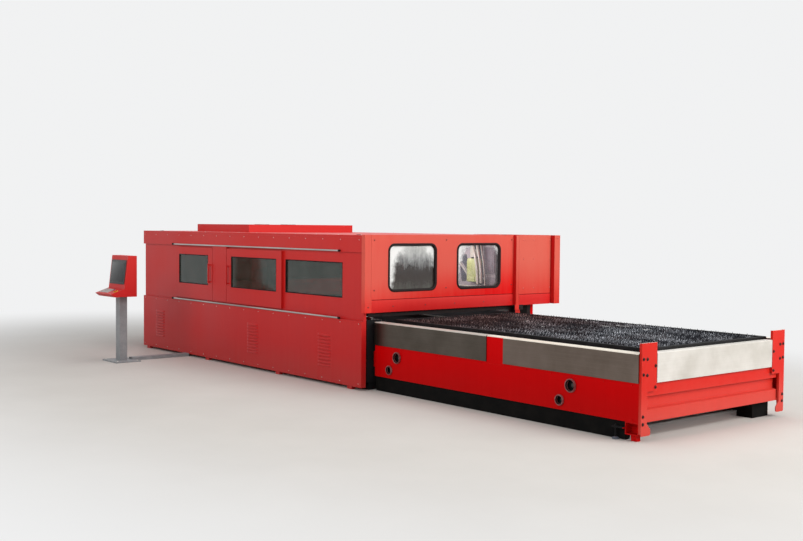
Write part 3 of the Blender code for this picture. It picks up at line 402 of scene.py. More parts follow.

# ---------------------------------------------------------------------------------------------
# Stainless trims: folded sheet over the frame's top edge, its up-facing lip painted pale as a
# highlight. The long sides are brushed lengthways, with the floor's brown painted in as a reflection:
# darker on the piece near the cabin, paler and with a brighter lip toward the end.


def brushed(name, dark, pale, along, roughness=0.34, grain=1.0, lip=None, metallic=1.0):
    """Hair lines along one axis, slow clouds across them, and a paler tone on the folded edges or, where
    a lip colour is given, that colour on what faces up instead, as a painted highlight."""
    made, tree, shader, spot = shader_of(name)
    squeeze = [1.2 if axis == along else 420.0 for axis in "xyz"]
    lines = noise(tree, stretched(tree, spot, *squeeze), 1.0, 3.0, 0.6)
    both_ways = maths(tree, "MULTIPLY_ADD", lines, 0.5 * grain, noise(tree, spot, 1.7, 4.0, 0.6))
    metal = blend(tree, fit(tree, both_ways, 0.45, 1.05), dark, pale)
    rounded, edge = edge_of(tree, 0.003)
    # A lip colour makes what faces up pale and less metallic: a painted highlight.
    if lip:
        bright = fit(tree, facing(tree, "Z"), 0.2, 0.5)
        metallic = maths(tree, "SUBTRACT", metallic, bright)
    else:
        bright = maths(tree, "MULTIPLY", edge, 0.6)
    colour = blend(tree, bright, metal, lip or (0.78, 0.74, 0.68))
    dull = fit(tree, lines, to=(roughness - 0.08, roughness + 0.12))
    bent = relief(tree, lines, 0.25, 0.0004, Normal=rounded)
    feed(tree, shader, Base_Color=colour, Roughness=dull, Normal=bent, Metallic=metallic)
    return made


# Darker copy of the stainless for the trim near the cabin: its brown paints the reflected floor and cabin,
# with a dimmer painted highlight on the lip.
trim_dark_reflection_copy = brushed(
    "side trim stainless", (0.06, 0.05, 0.04), (0.125, 0.108, 0.092), "x", lip=(0.5, 0.46, 0.41)
)
dress(trim_dark_reflection_copy, "trim_near_front")
# Paler copy of the same stainless for the rest of the sides: a lighter painted reflection and a brighter
# painted highlight on the lip.
trim_pale_reflection_copy = brushed(
    "end side trim stainless", (0.1, 0.078, 0.062), (0.2, 0.16, 0.138), "x", lip=(0.8, 0.73, 0.62)
)
dress(trim_pale_reflection_copy, "trim_near_rear", "trim_far")
end_trim = brushed(
    "end trim stainless", (0.5, 0.475, 0.43), (0.8, 0.775, 0.74), "y",
    roughness=0.5, grain=0.6, metallic=0.25,
)
dress(end_trim, "end_trim")

# ---------------------------------------------------------------------------------------------
# Black parts near the floor: the plinth under both sides, the block under the end and the filler
# panel are dull near-black, with faintly paler spots and edges.
plinth_black = coat("plinth black", (0.003, 0.003, 0.003), (0.01, 0.009, 0.008), roughness=0.7, gloss=0.06)
dress(plinth_black, "table_plinth", "end_foot", "filler_panel")

# ---------------------------------------------------------------------------------------------
# Shaft bearings in the near side: each a turned flange, its red spray half rubbed off, on four
# countersunk screws, with a rubber lip seal round the shaft deep inside its black bore.
ring_skin = coat(
    "bearing flange", (0.2, 0.03, 0.03), (0.36, 0.2, 0.2), roughness=0.5, scale=22.0, gloss=0.2
)
soot = coat(
    "oiled black bore", (0.002, 0.002, 0.002), (0.006, 0.005, 0.005), roughness=0.6, scale=30.0, gloss=0.1
)
INWARD = (0, 1, 0)
for kind, places, height, hole, rim, shaft in (
    ("lift", (0.438, 3.31), 0.46, 0.0575, 0.016, 0.022),
    ("chain", (0.285, 3.159), 0.29, 0.045, 0.0145, 0.018),
):
    inner, outer = hole - 0.004, hole + rim
    flange = [
        (inner + 0.0002, 0.006), (inner + 0.0002, -0.0125), (outer - 0.0125, -0.0125),
        (outer - 0.012, -0.0205), (outer - 0.0105, -0.022), (outer - 0.005, -0.022),
        (outer - 0.0015, -0.0208), (outer, -0.017), (outer, -0.0004), (hole - 0.0012, -0.0004),
        (hole - 0.0012, 0.006),
    ]
    insert = [
        (inner - 0.001, -0.0115), (inner + 0.002, -0.015), (outer - 0.014, -0.0175),
        (outer - 0.0127, -0.0165), (outer - 0.0127, -0.0122), (inner - 0.001, -0.01),
    ]
    sleeve = [
        (inner, 0.0062), (inner, 0.032), (shaft + 0.0006, 0.032), (shaft + 0.0006, 0.043),
        (hole - 0.001, 0.043), (hole - 0.001, 0.0062),
    ]
    lip = [
        (shaft + 0.0004, 0.024), (shaft + 0.004, 0.0225), (inner - 0.01, 0.0265), (inner - 0.004, 0.0245),
        (inner - 0.0004, 0.0265), (inner - 0.0004, 0.0315), (shaft + 0.0004, 0.0315),
    ]
    reach = outer - 0.006
    turns = np.arange(4) * math.pi / 2 + 0.785
    for end, at in zip(("front", "rear"), places):
        centre = (at, 0.0, height)
        name = "%s_%s" % (kind, end)
        ring = turned("flange_" + name, flange, centre, INWARD, ring_skin, "machine", 48)
        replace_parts(ring, "bearing_" + name)
        turned("dust_ring_" + name, insert, centre, INWARD, soot, "machine", 48)
        turned("bore_" + name, sleeve, centre, INWARD, soot, "machine", 48)
        turned("lip_seal_" + name, lip, centre, INWARD, soot, "machine", 48)
        around = [(at + reach * math.cos(t), -0.0218, height + reach * math.sin(t)) for t in turns]
        screws("flange_screws_" + name, around, (0, -1, 0), 0.0032, blackened, "machine")

# ---------------------------------------------------------------------------------------------
# Lift and drive: shafts and levers of oiled bare steel, a roller chain round two sprockets, and a
# grey gearmotor with cast cooling fins.
oiled_steel = brushed("oiled steel", (0.045, 0.042, 0.04), (0.16, 0.15, 0.14), "y", roughness=0.34)
dress(oiled_steel, "lift_shaft_front", "lift_shaft_rear", "chain_shaft_front", "chain_shaft_rear")
wheel_steel = brushed("rolled wheel steel", (0.22, 0.21, 0.2), (0.46, 0.45, 0.43), "y", roughness=0.3)
for level in ("upper", "lower"):
    dress(wheel_steel, "wheelset_%s_front" % level, "wheelset_%s_rear" % level)
chain_steel = coat(
    "oiled chain steel", (0.03, 0.028, 0.026), (0.12, 0.11, 0.1), roughness=0.35, scale=40.0, metallic=0.8
)

LINKS, NEAR_SPROCKET, FAR_SPROCKET, SPROCKET_Z = 230, 0.285, 3.159, 0.29
reach = 0.0511
straight = FAR_SPROCKET - NEAR_SPROCKET
length = 2 * straight + 2 * math.pi * reach


def along_chain(s):
    """The chain's line at the distances s from the near sprocket's foot: straight under the two
    sprockets, half round the far one, straight back on top and half round the near one."""
    s = s % length
    half = math.pi * reach
    bend_far = (s - straight) / reach
    bend_near = (s - 2 * straight - half) / reach
    x = np.select(
        [s < straight, s < straight + half, s < 2 * straight + half],
        [NEAR_SPROCKET + s, FAR_SPROCKET + reach * np.sin(bend_far), FAR_SPROCKET - (s - straight - half)],
        NEAR_SPROCKET - reach * np.sin(bend_near),
    )
    z = np.select(
        [s < straight, s < straight + half, s < 2 * straight + half],
        [SPROCKET_Z - reach, SPROCKET_Z - reach * np.cos(bend_far), SPROCKET_Z + reach],
        SPROCKET_Z + reach * np.cos(bend_near),
    )
    return np.stack([x, z], -1)


pins = along_chain(np.arange(LINKS) * length / LINKS)
ends = np.roll(pins, -1, axis=0)
run = (ends - pins) / np.linalg.norm(ends - pins, axis=1)[:, None]
rise = np.stack([-run[:, 1], run[:, 0]], -1)
gauge = length / LINKS
plate = [
    (-0.3, 0), (-0.22, 0.25), (0, 0.32), (0.25, 0.26), (0.5, 0.2),
    (0.75, 0.26), (1, 0.32), (1.22, 0.25), (1.3, 0),
]
plate = np.concatenate([plate, np.array(plate[-2:0:-1]) * (1, -1)]) * gauge
flat = pins[:, None] + run[:, None] * plate[:, :1] + rise[:, None] * plate[:, 1:]
middle = TABLE_WIDTH / 2
chain_skins = []
for side in (-1, 1):
    out = np.where(np.arange(LINKS) % 2, 0.0092, 0.0066)[:, None]
    faces = [np.broadcast_to(middle + side * (out + t), flat.shape[:2]) for t in (0, 0.0022)]
    rows = [np.stack([flat[..., 0], y, flat[..., 1]], -1) for y in faces]
    chain_skins.append(skin(np.stack(rows, 1)))
rollers = np.stack([pins[:, 0], np.full(LINKS, middle), pins[:, 1]], -1)
barrel = [(0.004, -0.0117), (0.004, -0.0064), (0.0047, -0.0062)]
barrel += [(radius, -place) for radius, place in reversed(barrel)]
chain_skins.append(skin(lathe(barrel, rollers, (0, 1, 0), 8)))
chain = form("roller_chain", chain_skins, chain_steel, "machine")
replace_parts(chain, "drive_chain")

motor_grey = coat("gearmotor grey enamel", (0.16, 0.18, 0.2), (0.26, 0.28, 0.3), roughness=0.4, scale=10.0)
dress(motor_grey, "lift_gearmotor")
MOTOR_Y, MOTOR_Z, FINS = 1.57, 0.41, 15
fins = [(0.0485, -0.0025), (0.056, -0.0018), (0.0565, 0.0), (0.056, 0.0018), (0.0485, 0.0025)]
fin_spots = [(x, MOTOR_Y, MOTOR_Z) for x in np.linspace(3.0, 3.215, FINS)]
turned("motor_fins", fins, fin_spots, (1, 0, 0), motor_grey, "machine", 32)
cowl = [
    (0.015, -0.343), (0.044, -0.343), (0.052, -0.338), (0.054, -0.33), (0.054, -0.306), (0.049, -0.302),
    (0.049, -0.339), (0.015, -0.3405),
]
turned("motor_fan_cowl", cowl, (3.31, MOTOR_Y, MOTOR_Z), (1, 0, 0), motor_grey, "machine", 32)

# ---------------------------------------------------------------------------------------------
# Pallets: a frame of rectangular tube with forty toothed slats of 6 mm mild steel set across it.
# The teeth are burnt short in places, crusted with slag below their tips, blue-black with scale
# and grey with spatter, and a few newer slats are still pale. The tips of the teeth carry a
# painted highlight, some slag beads painted glints, and the spatter's drifts along x partly paint
# the highlight streaks of the rows of teeth.


def softened(width, height, radius, steps=3):
    """Points round a rectangle with round corners, as (side, up) offsets from its middle."""
    turn = np.linspace(0, math.pi / 2, steps + 1)
    corner = radius * np.stack([np.cos(turn), np.sin(turn)], -1)
    corners = []
    for i, (a, b) in enumerate(((1, 1), (-1, 1), (-1, -1), (1, -1))):
        c, s = math.cos(i * math.pi / 2), math.sin(i * math.pi / 2)
        middle = a * (width / 2 - radius), b * (height / 2 - radius)
        corners.append(corner @ np.array([[c, s], [-s, c]]) + middle)
    return np.concatenate(corners)


def carried(outline, path, up=(0, 0, 1)):
    """An outline of (side, up) offsets carried along a path: point = path + side * across + up *
    over, where across and over stand square to the way the path runs."""
    path = np.asarray(path, float)
    way = np.gradient(path, axis=0)
    way /= np.linalg.norm(way, axis=1)[:, None]
    across = np.cross(way, up)
    across /= np.linalg.norm(across, axis=1)[:, None]
    over = np.cross(across, way)
    outline = np.asarray(outline, float)
    return path[:, None] + across[:, None] * outline[:, :1] + over[:, None] * outline[:, 1:]


def bars(ends, width, height, radius=0.002, up=(0, 0, 1)):
    """Straight bars with softened edges between pairs of points."""
    return [skin(carried(softened(width, height, radius), pair, up)) for pair in ends]


def scorched(name):
    """Slat steel: blue-black scale under pale grains of spatter, which lie in drifts, are browner
    toward the cabin and thicker where a point's own tone is high. The tone holds painted highlights
    on the tips and painted glints on some slag beads; the drifts, stretched along x, partly paint
    the highlight streaks of the rows of teeth."""
    made, tree, shader, spot = shader_of(name)
    tone = node(tree, "Attribute", {"attribute_name": "tone"}).outputs["Fac"]
    x = node(tree, "SeparateXYZ", Vector=spot).outputs["X"]
    grain = noise(tree, spot, 95.0, 6.0, 0.75)
    shifted = maths(tree, "ADD", noise(tree, spot, 2.6, 4.0, 0.6), fit(tree, x, 1.2, 5.0, (-0.16, 0.16)))
    cast = ramp(tree, shifted, ((0.38, (0.014, 0.0045, 0.0045)), (0.62, (0.006, 0.0075, 0.011))))
    # Drifts stretched along x: partly burnt patches, partly painted highlight streaks of the tooth rows.
    patch = noise(tree, stretched(tree, spot, 0.8, 3.4, 3.4), 2.1, 4.0, 0.7)
    patch = fit(tree, patch, 0.44, 0.62, (0.05, 2.1))
    share = maths(tree, "MULTIPLY", fit(tree, grain, 0.46, 0.7), tone)
    share = maths(tree, "MULTIPLY", share, patch, clamp=True)
    along = fit(tree, x, 2.2, 3.8)
    pale = blend(tree, along, (0.46, 0.29, 0.28), (0.62, 0.64, 0.7))
    share = maths(tree, "MULTIPLY", share, maths(tree, "MULTIPLY_ADD", along, 0.15, 1.0), clamp=True)
    dull = fit(tree, grain, to=(0.65, 0.35))
    bent = relief(tree, grain, 0.7, 0.0016)
    feed(tree, shader, Base_Color=blend(tree, share, cast, pale), Roughness=dull, Normal=bent)
    feed(tree, shader, Metallic=0.15, Specular_IOR_Level=0.06)
    return made


PALLET = (0.12, 4.12)
SLATS, TEETH = 40, 46
SLAT_ENDS = (0.225, 2.325)
slat_steel = scorched("scorched slat steel")
tube_steel = coat(
    "sooted tube steel", (0.004, 0.004, 0.004), (0.018, 0.017, 0.019),
    roughness=0.6, scale=14.0, metallic=0.2, gloss=0.15,
)
TOOTH_PHASE = np.array([0.0, 0.13, 0.34, 0.66, 0.87])
TOOTH_HEIGHT = np.array([1.0, 0.46, 0.06, 0.06, 0.46])
TOOTH_DEPTH = 0.03
TUBE = (0.04, 0.155)
KEELS, COMB_INSET = (0.9, 1.65), 0.2465
slat_x = PALLET[0] + 0.04 + (PALLET[1] - PALLET[0] - 0.08) / (SLATS + 1) * np.arange(1, SLATS + 1)


def slats(rail, seed):
    """All the slats of one pallet. Along each slat the top edge is tip - depth * (1 - tooth(phase)),
    each tooth burnt down by its own amount; across it eight points give the foot, the crust below
    the teeth and the thin tip; the whole leans by a slow bow that grows with height."""
    draw = np.random.default_rng(seed)
    per = len(TOOTH_PHASE)
    count = TEETH * per + 1
    step = np.arange(count)
    tooth, height = step // per, TOOTH_HEIGHT[step % per]
    y = SLAT_ENDS[0] + (SLAT_ENDS[1] - SLAT_ENDS[0]) * (tooth + TOOTH_PHASE[step % per]) / TEETH
    foot, tip = rail + 0.06, rail + 0.185
    burnt = draw.gamma(1.3, 0.0035, (SLATS, TEETH + 1)).clip(0, 0.018)
    burnt = burnt + draw.gamma(1.0, 0.002, (SLATS, 1)).clip(0, 0.008)
    top = tip - TOOTH_DEPTH * (1 - height) - burnt[:, tooth] * height
    top += draw.normal(0, 0.0008, top.shape).clip(-0.002, 0)
    crust = 0.003 + draw.gamma(1.2, 0.0011, (SLATS, count)).clip(0, 0.005)
    below = tip - TOOTH_DEPTH - 0.006 - draw.random((SLATS, count)) * 0.008
    thin = 0.0012 + 0.0012 * draw.random((SLATS, count))
    wall = np.full((SLATS, count), 0.003)
    low = np.full((SLATS, count), foot)
    shoulder = np.minimum(below + 0.01, top - 0.002)
    side = np.stack([-wall, -wall, -crust, -thin, thin, crust, wall, wall], -1)
    z = np.stack([low, below - 0.012, shoulder, top, top, shoulder, below - 0.012, low], -1)
    bow = draw.normal(0, 0.0022, (SLATS, 1))
    bow = bow * np.sin(math.pi * step / count * draw.integers(1, 4, (SLATS, 1)))
    lean = bow + draw.normal(0, 0.0008, (SLATS, TEETH + 1))[:, tooth] * height
    x = slat_x[:, None, None] + side + lean[..., None] * (z - foot) / (tip - foot)
    fresh = 0.1 + 0.25 * draw.random(SLATS) + 0.75 * (draw.random(SLATS) > 0.84) * draw.random(SLATS)
    # Points 3 and 4, the tips, get 0.4 more tone: a painted highlight on the top edges.
    shine = fresh[:, None, None] + 0.4 * np.isin(np.arange(8), (3, 4))
    shine = np.broadcast_to(shine + draw.random((SLATS, count, 1)) * 0.25, x.shape)
    grid = np.stack([x, np.broadcast_to(y[None, :, None], x.shape), z], -1)
    return grid, shine.reshape(-1), top


def pallet(level, rail, seed, beads):
    """One pallet: slats that stand for the CAD's, the tube frame, two keels and slag beads."""
    body = level + "_pallet"
    grid, shine, top = slats(rail, seed)
    piece = form(level + "_slats", [skin(grid)], slat_steel, body, 30, shine)
    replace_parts(piece, "pallet_" + level)
    base = rail + 0.0103
    x0, x1, y0, y1 = PALLET[0] + 0.02, PALLET[1] - 0.02, 0.225, TABLE_WIDTH - 0.225
    corners = np.array([(x0, y0), (x1, y0), (x1, y1), (x0, y1)])
    outward = np.array([(-1, -1), (1, -1), (1, 1), (-1, 1)])
    tube = softened(*TUBE, 0.006)
    across = corners[:, None] + outward[:, None] * tube[None, :, :1]
    upright = np.broadcast_to(base + TUBE[1] / 2 + tube[None, :, 1:], (4, len(tube), 1))
    rim = np.concatenate([across, upright], -1)
    keels = [((x0, y, rail + 0.072), (x1, y, rail + 0.072)) for y in KEELS]
    sides = (COMB_INSET, TABLE_WIDTH - COMB_INSET)
    combs = [((x0 + 0.02, y, base + 0.118), (x1 - 0.02, y, base + 0.118)) for y in sides]
    frame_skins = [skin(rim, True)] + bars(keels, 0.03, 0.036) + bars(combs, 0.005, 0.07, 0.001)
    form(level + "_pallet_frame", frame_skins, tube_steel, body)
    draw = np.random.default_rng(seed + 1)
    which = draw.integers(0, SLATS, beads)
    where = draw.integers(0, top.shape[1] - 1, beads)
    size = 0.0015 + draw.gamma(1.5, 0.0011, beads).clip(0, 0.006)
    spots = (grid[which, where, 3] + grid[which, where, 4]) / 2 - size[:, None] * (0, 0, 0.6)
    spots = spots + draw.normal(0, 1, (beads, 3)) * (0.0015, 0.004, 0.0015)
    ball = lathe([(0.5, -0.8), (1.0, 0.0), (0.6, 0.75)], spots, (0, 0, 1), 6)
    swell = (size[:, None] * (1 + 0.5 * draw.random((beads, 3))))[:, None, None]
    middles = spots[:, None, None]
    # About one bead in fourteen gets a tone of 2.4: a painted glint.
    glint = np.repeat(np.where(draw.random(beads) > 0.93, 2.4, draw.random(beads) * 0.8), 3 * 6)
    slag = [skin(middles + (ball - middles) * swell)]
    form(level + "_slag", slag, slat_steel, body, 60, glint)


OFFCUTS = (
    (0.905, 2.118, 0.03, 0.9), (1.842, 1.935, 0.028, 2.2), (2.54, 1.76, 0.09, 0.15),
    (2.455, 1.585, 0.06, 0.35), (3.0, 1.62, 0.045, 2.6), (3.03, 1.63, 0.04, 0.6),
    (1.42, 1.29, 0.024, 1.2), (2.06, 0.905, 0.022, 0.2),
)
SLAT_TIPS = 0.932
scrap = []
for x, y, half, angle in OFFCUTS:
    s = np.linspace(-1, 1, 7)
    way = np.array([math.cos(angle), math.sin(angle)])
    flat = np.array([x, y]) + half * s[:, None] * way + 0.25 * half * (s**2)[:, None] * (-way[1], way[0])
    route = np.column_stack([flat, SLAT_TIPS + 0.004 * s**2])
    scrap.append(skin(carried(softened(0.011, 0.0016, 0.0005), route)))
bright_cut = brushed(
    "bright cut steel", (0.45, 0.45, 0.44), (0.8, 0.8, 0.78), "x", roughness=0.35, metallic=0.6
)
form("upper_offcuts", scrap, bright_cut, "upper_pallet")
pallet("upper", rail=0.7447, seed=11, beads=2600)
pallet("lower", rail=0.4947, seed=23, beads=900)

# ---------------------------------------------------------------------------------------------
# Levelling jack at the foot of the near end post: a grey-blue ribbed pad on a dark threaded stud
# with a nut on each side of its arm.
pad_blue = coat("jack pad", (0.06, 0.072, 0.095), (0.14, 0.15, 0.18), roughness=0.5, scale=30.0, gloss=0.3)
jack_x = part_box("foot_bracket")[0][0] - CORNER[0] + 0.035
JACK_Y, ARM_Y, ARM_Z = -0.014, -0.0105, 0.125
UP = (0, 0, 1)
pad_rows = [
    (0.0103, 0.0006), (0.0362, 0.0006), (0.0375, 0.003), (0.0375, 0.011), (0.035, 0.015), (0.024, 0.017),
    (0.0185, 0.023), (0.0103, 0.023),
]
turned("jack_pad", pad_rows, (jack_x, JACK_Y, 0), UP, pad_blue, "machine", 40)
thread = [(0.0103 + 0.0008 * (i % 2), 0.024 + 0.00275 * i) for i in range(46)]
thread_skin = skin(lathe(thread + [(0.01, 0.1505), (0.0002, 0.1508)], (jack_x, JACK_Y, 0), UP, 16))
nut_rows = [(0.0108, 0.0), (0.015, 0.0), (0.0162, 0.0015), (0.0162, 0.0085), (0.015, 0.01), (0.0108, 0.01)]
nuts = lathe(nut_rows, [(jack_x, JACK_Y, z) for z in (0.109, 0.1315)], UP, 24, (1, 2, 3, 4))
arm = bars([((jack_x - 0.0365, ARM_Y, ARM_Z), (jack_x + 0.104, ARM_Y, ARM_Z))], 0.054, 0.0125, 0.002)
form("jack_stud", [thread_skin, skin(nuts, True)] + arm, tube_steel, "machine")

# ---------------------------------------------------------------------------------------------
# Closing plates between the near side of the table and the cabin: the trim's section, the frame's
# web and the plinth carried on for 45 mm, in the same finishes.
CLOSING = (-0.01, 0.0345)


def closing(y, z):
    """The two ends of a plate that runs along the machine at one place across it and one height."""
    return [((CLOSING[0], y, z), (CLOSING[1], y, z))]


trim_section = [
    (0.014, 0.585), (0.0005, 0.585), (0.0005, 0.8685), (-0.105, 0.8685), (-0.105, 0.88), (0.004, 0.88),
    (0.014, 0.87),
]
form("trim_closing", [skin(carried(trim_section, closing(0, 0)[0]))], trim_dark_reflection_copy, "machine")
form("frame_closing", bars(closing(0.0102, 0.5275), 0.02, 0.681), frame_red, "machine")
form("plinth_closing", bars(closing(0.057, 0.0935), 0.07, 0.186), plinth_black, "machine")

# ---------------------------------------------------------------------------------------------
# Machine bed: a welded and stress-relieved box frame in anthracite enamel, with ground guides and
# rolled rails bolted down along it.
bed_grey = coat(
    "bed anthracite", (0.009, 0.009, 0.01), (0.016, 0.016, 0.017), roughness=0.6, scale=3.5, gloss=0.1
)
dress(bed_grey, "bed")
guide_steel = brushed("ground guide steel", (0.2, 0.2, 0.2), (0.4, 0.39, 0.38), "x", roughness=0.28)
dress(guide_steel, "x_guide_near", "x_guide_far", "bed_rail_near", "bed_rail_far")
GUIDE_TOP, GUIDES_Y = 0.93, (0.02, TABLE_WIDTH - 0.02)
guide_bolts = [(x, y, GUIDE_TOP - 0.0001) for x in np.arange(-4.66, -0.15, 0.15) for y in GUIDES_Y]
screws("guide_bolts", guide_bolts, (0, 0, 1), 0.0055, blackened, "machine")

# ---------------------------------------------------------------------------------------------
# Gantry: a red cast beam with a black servomotor on each saddle, and a cable duct with a ribbed
# hose along its back edge.
GANTRY_X = -3.6
cast_red = enamel("gantry red", (0.5, 0.006, 0.008), (0.62, 0.02, 0.016), 0.9, 1.3, gloss=0.3, dirt=0.1)
dress(cast_red, "gantry")
servo_black = coat(
    "servomotor black", (0.01, 0.01, 0.011), (0.045, 0.045, 0.047), roughness=0.4, scale=20.0
)
HOSE_X, HOSE_Z = GANTRY_X - 0.121, 1.2535
sleeve = [
    (0.0452, 0.012), (0.0475, 0.01), (0.049, 0.014), (0.049, 0.15), (0.0475, 0.158), (0.044, 0.1835),
    (0.02, 0.186), (0.02, 0.1815), (0.0452, 0.176),
]
motor_spots = [(GANTRY_X - 0.25, y, 0.98) for y in GUIDES_Y]
turned("servomotor_sleeves", sleeve, motor_spots, UP, servo_black, "gantry_body", 40)
plug = [(0.013, -0.002), (0.015, 0.004), (0.015, 0.018), (0.011, 0.022), (0.011, 0.034), (0.008, 0.038)]
plug_spots = [(GANTRY_X - 0.298, y, 1.115) for y in GUIDES_Y]
turned("servomotor_plugs", plug, plug_spots, (-1, 0, 0), servo_black, "gantry_body", 16, False)
ribs = [(0.011 + 0.0022 * math.cos(i * math.pi / 2), y) for i, y in enumerate(np.linspace(0.02, 2.53, 420))]
hose_at = (HOSE_X, 0, HOSE_Z)
turned(
    "gantry_cable_hose", ribs, hose_at, INWARD, servo_black, "gantry_body",
    count=12, closed=False, sharp=80,
)
clips = [((HOSE_X, y - 0.008, HOSE_Z), (HOSE_X, y + 0.008, HOSE_Z)) for y in np.linspace(0.15, 2.4, 10)]
form("gantry_hose_clips", bars(clips, 0.03, 0.0265, 0.01), zinc, "gantry_body")

# ---------------------------------------------------------------------------------------------
# Carriage and cutting head: grey carriage with a ground slide, and a black anodised head in three
# stacked housings with a drawer for the cover glass, a ceramic ring and a turned copper nozzle.
dress(motor_grey, "y_carriage")
dress(guide_steel, "z_slide")
anodised = coat(
    "black anodised head", (0.012, 0.012, 0.013), (0.05, 0.05, 0.052),
    roughness=0.32, scale=50.0, metallic=0.5,
)
HEAD = np.array((-3.3119, 0.6, 1.145))
SLIDE_FACE = -3.3543


def upright(low, high, width, depth, radius, chamfer=0.003):
    """A housing with round corners standing on the head's axis, its rims drawn in by a chamfer."""
    levels = ((low, chamfer), (low + chamfer, 0), (high - chamfer, 0), (high, chamfer))
    rims = [(softened(width - 2 * d, depth - 2 * d, radius), z) for z, d in levels]
    return skin(HEAD + np.array([np.column_stack([rim, np.full(len(rim), z)]) for rim, z in rims]))


housings = [upright(0.07, 0.15, 0.083, 0.089, 0.01), upright(0.148, 0.252, 0.076, 0.082, 0.01)]
housings += [upright(0.25, 0.355, 0.083, 0.089, 0.014), upright(0.17, 0.2, 0.0835, 0.06, 0.004, 0.002)]
collar = [(0.03, 0.042), (0.03, 0.0705), (0.02, 0.0705), (0.0205, 0.0405), (0.0285, 0.0405)]
tower = [(0.026, 0.354), (0.026, 0.366), (0.019, 0.372), (0.019, 0.386), (0.012, 0.39)]
head_skins = housings + [skin(lathe(collar, HEAD, UP, 32), True), skin(lathe(tower, HEAD, UP, 32))]
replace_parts(form("head_housings", head_skins, anodised, "head"), "cutting_head")
ceramic = coat("ceramic ring", (0.62, 0.58, 0.5), (0.78, 0.75, 0.68), roughness=0.4, scale=60.0)
insulator = [(0.0205, 0.062), (0.0205, 0.036), (0.0145, 0.026), (0.01, 0.026)]
turned("head_ceramic", insulator, HEAD, UP, ceramic, "head", 32, False)
copper = brushed("turned copper", (0.45, 0.2, 0.1), (0.72, 0.38, 0.22), "z", roughness=0.28)
cone = [
    (0.0128, 0.0262), (0.0138, 0.0245), (0.0138, 0.0185), (0.0118, 0.016), (0.005, 0.0015), (0.003, 0.0),
    (0.0012, 0.0006),
]
turned("head_nozzle", cone, HEAD, UP, copper, "head", 32, False)
knobs = [HEAD + (0.0415, y, 0.185) for y in (-0.02, 0.02)]
screws("head_drawer_screws", knobs, (1, 0, 0), 0.005, zinc, "head")
slide_spots = [(SLIDE_FACE, HEAD[1] + y, z) for y in (-0.075, 0.075) for z in (1.15, 1.3, 1.45)]
screws("slide_screws", slide_spots, (1, 0, 0), 0.0055, blackened, "head")

# ---------------------------------------------------------------------------------------------
# Hood front: folded sheet in a lighter coral enamel, with a painted sheen that makes it paler toward
# the top and more saturated low down, closed with countersunk screws that show as small dark dots.
HOOD_FACE, BOX_FACE = 0.03, 0.09
# Painted sheen: the hood's tones are paler toward the top and toward the near side.
hood_red = enamel(
    "hood red", (0.74, 0.002, 0.003), (0.73, 0.108, 0.078), 0.96, 1.62, gloss=0.1, dirt=0.12, lean=-0.14
)
dress(hood_red, "hood_front")
# Painted sheen and shade: the side box is paler toward the top, and its faces turned away from the front
# take a darker tone.
box_red = enamel(
    "side box red", (0.66, 0.026, 0.018), (0.69, 0.122, 0.086), 0.98, 1.75,
    gloss=0.12, dirt=0.12, shaded_side_tone=(0.55, 0.011, 0.01),
)
dress(box_red, "side_box")
# Painted sheen: the skirt grows paler toward its top.
skirt_red = enamel(
    "skirt red", (0.62, 0.018, 0.018), (0.72, 0.04, 0.032), 0.98, 1.3, gloss=0.12, dirt=0.12, lean=-0.03
)
seam_shade = coat(
    "dark red painted seam shade", (0.16, 0.002, 0.003), (0.3, 0.006, 0.006), roughness=0.6, scale=30.0, gloss=0.1
)
sunk = coat("sunk screws", (0.16, 0.012, 0.012), (0.34, 0.06, 0.05), roughness=0.5, scale=60.0)
pale_red = coat("side box screws", (0.62, 0.1, 0.08), (0.8, 0.22, 0.18), roughness=0.4, scale=60.0)
hood_dots = [(-0.056, 1.928), (-0.056, 1.286), (2.408, 1.928), (2.408, 1.294), (1.17, 1.928), (1.17, 1.286)]
hood_dots += [(y, 1.072) for y in (-0.15, 0.256, 0.805, 1.33, 1.87, 2.4)]
side_dots = [(y, z) for y in (2.59, 2.8, 3.135) for z in (1.24, 1.655, 1.925)]
corner_dots = [(3.2165, z) for z in (1.05, 1.5, 1.95)]
for name, face, dots, radius, finish in (
    ("hood_screws", HOOD_FACE, hood_dots, 0.0095, sunk),
    ("side_box_screws", BOX_FACE, side_dots, 0.009, pale_red),
    ("corner_screws", BOX_FACE + 0.07, corner_dots, 0.007, pale_red),
):
    screws(name, [(face + 0.0002, y, z) for y, z in dots], (1, 0, 0), radius, finish, "machine")

# ---------------------------------------------------------------------------------------------
# Hood windows: clear sheet in black rubber H-section gaskets, whose lips grip the hood's panel on
# both faces. On each pane a film is painted: a pale top and pale upper corners as a painted
# reflection, dark brown low down as the painted shade of the dim cabin behind.
WINDOWS = ((0.178, 0.9945), (1.3695, 2.186))
WINDOW_LOW, WINDOW_HIGH, WINDOW_RADIUS = 1.264, 1.876, 0.095
rubber = coat(
    "window rubber", (0.007, 0.003, 0.003), (0.022, 0.012, 0.012), roughness=0.62, scale=30.0, gloss=0.2
)
dress(rubber, "entry_curtain")


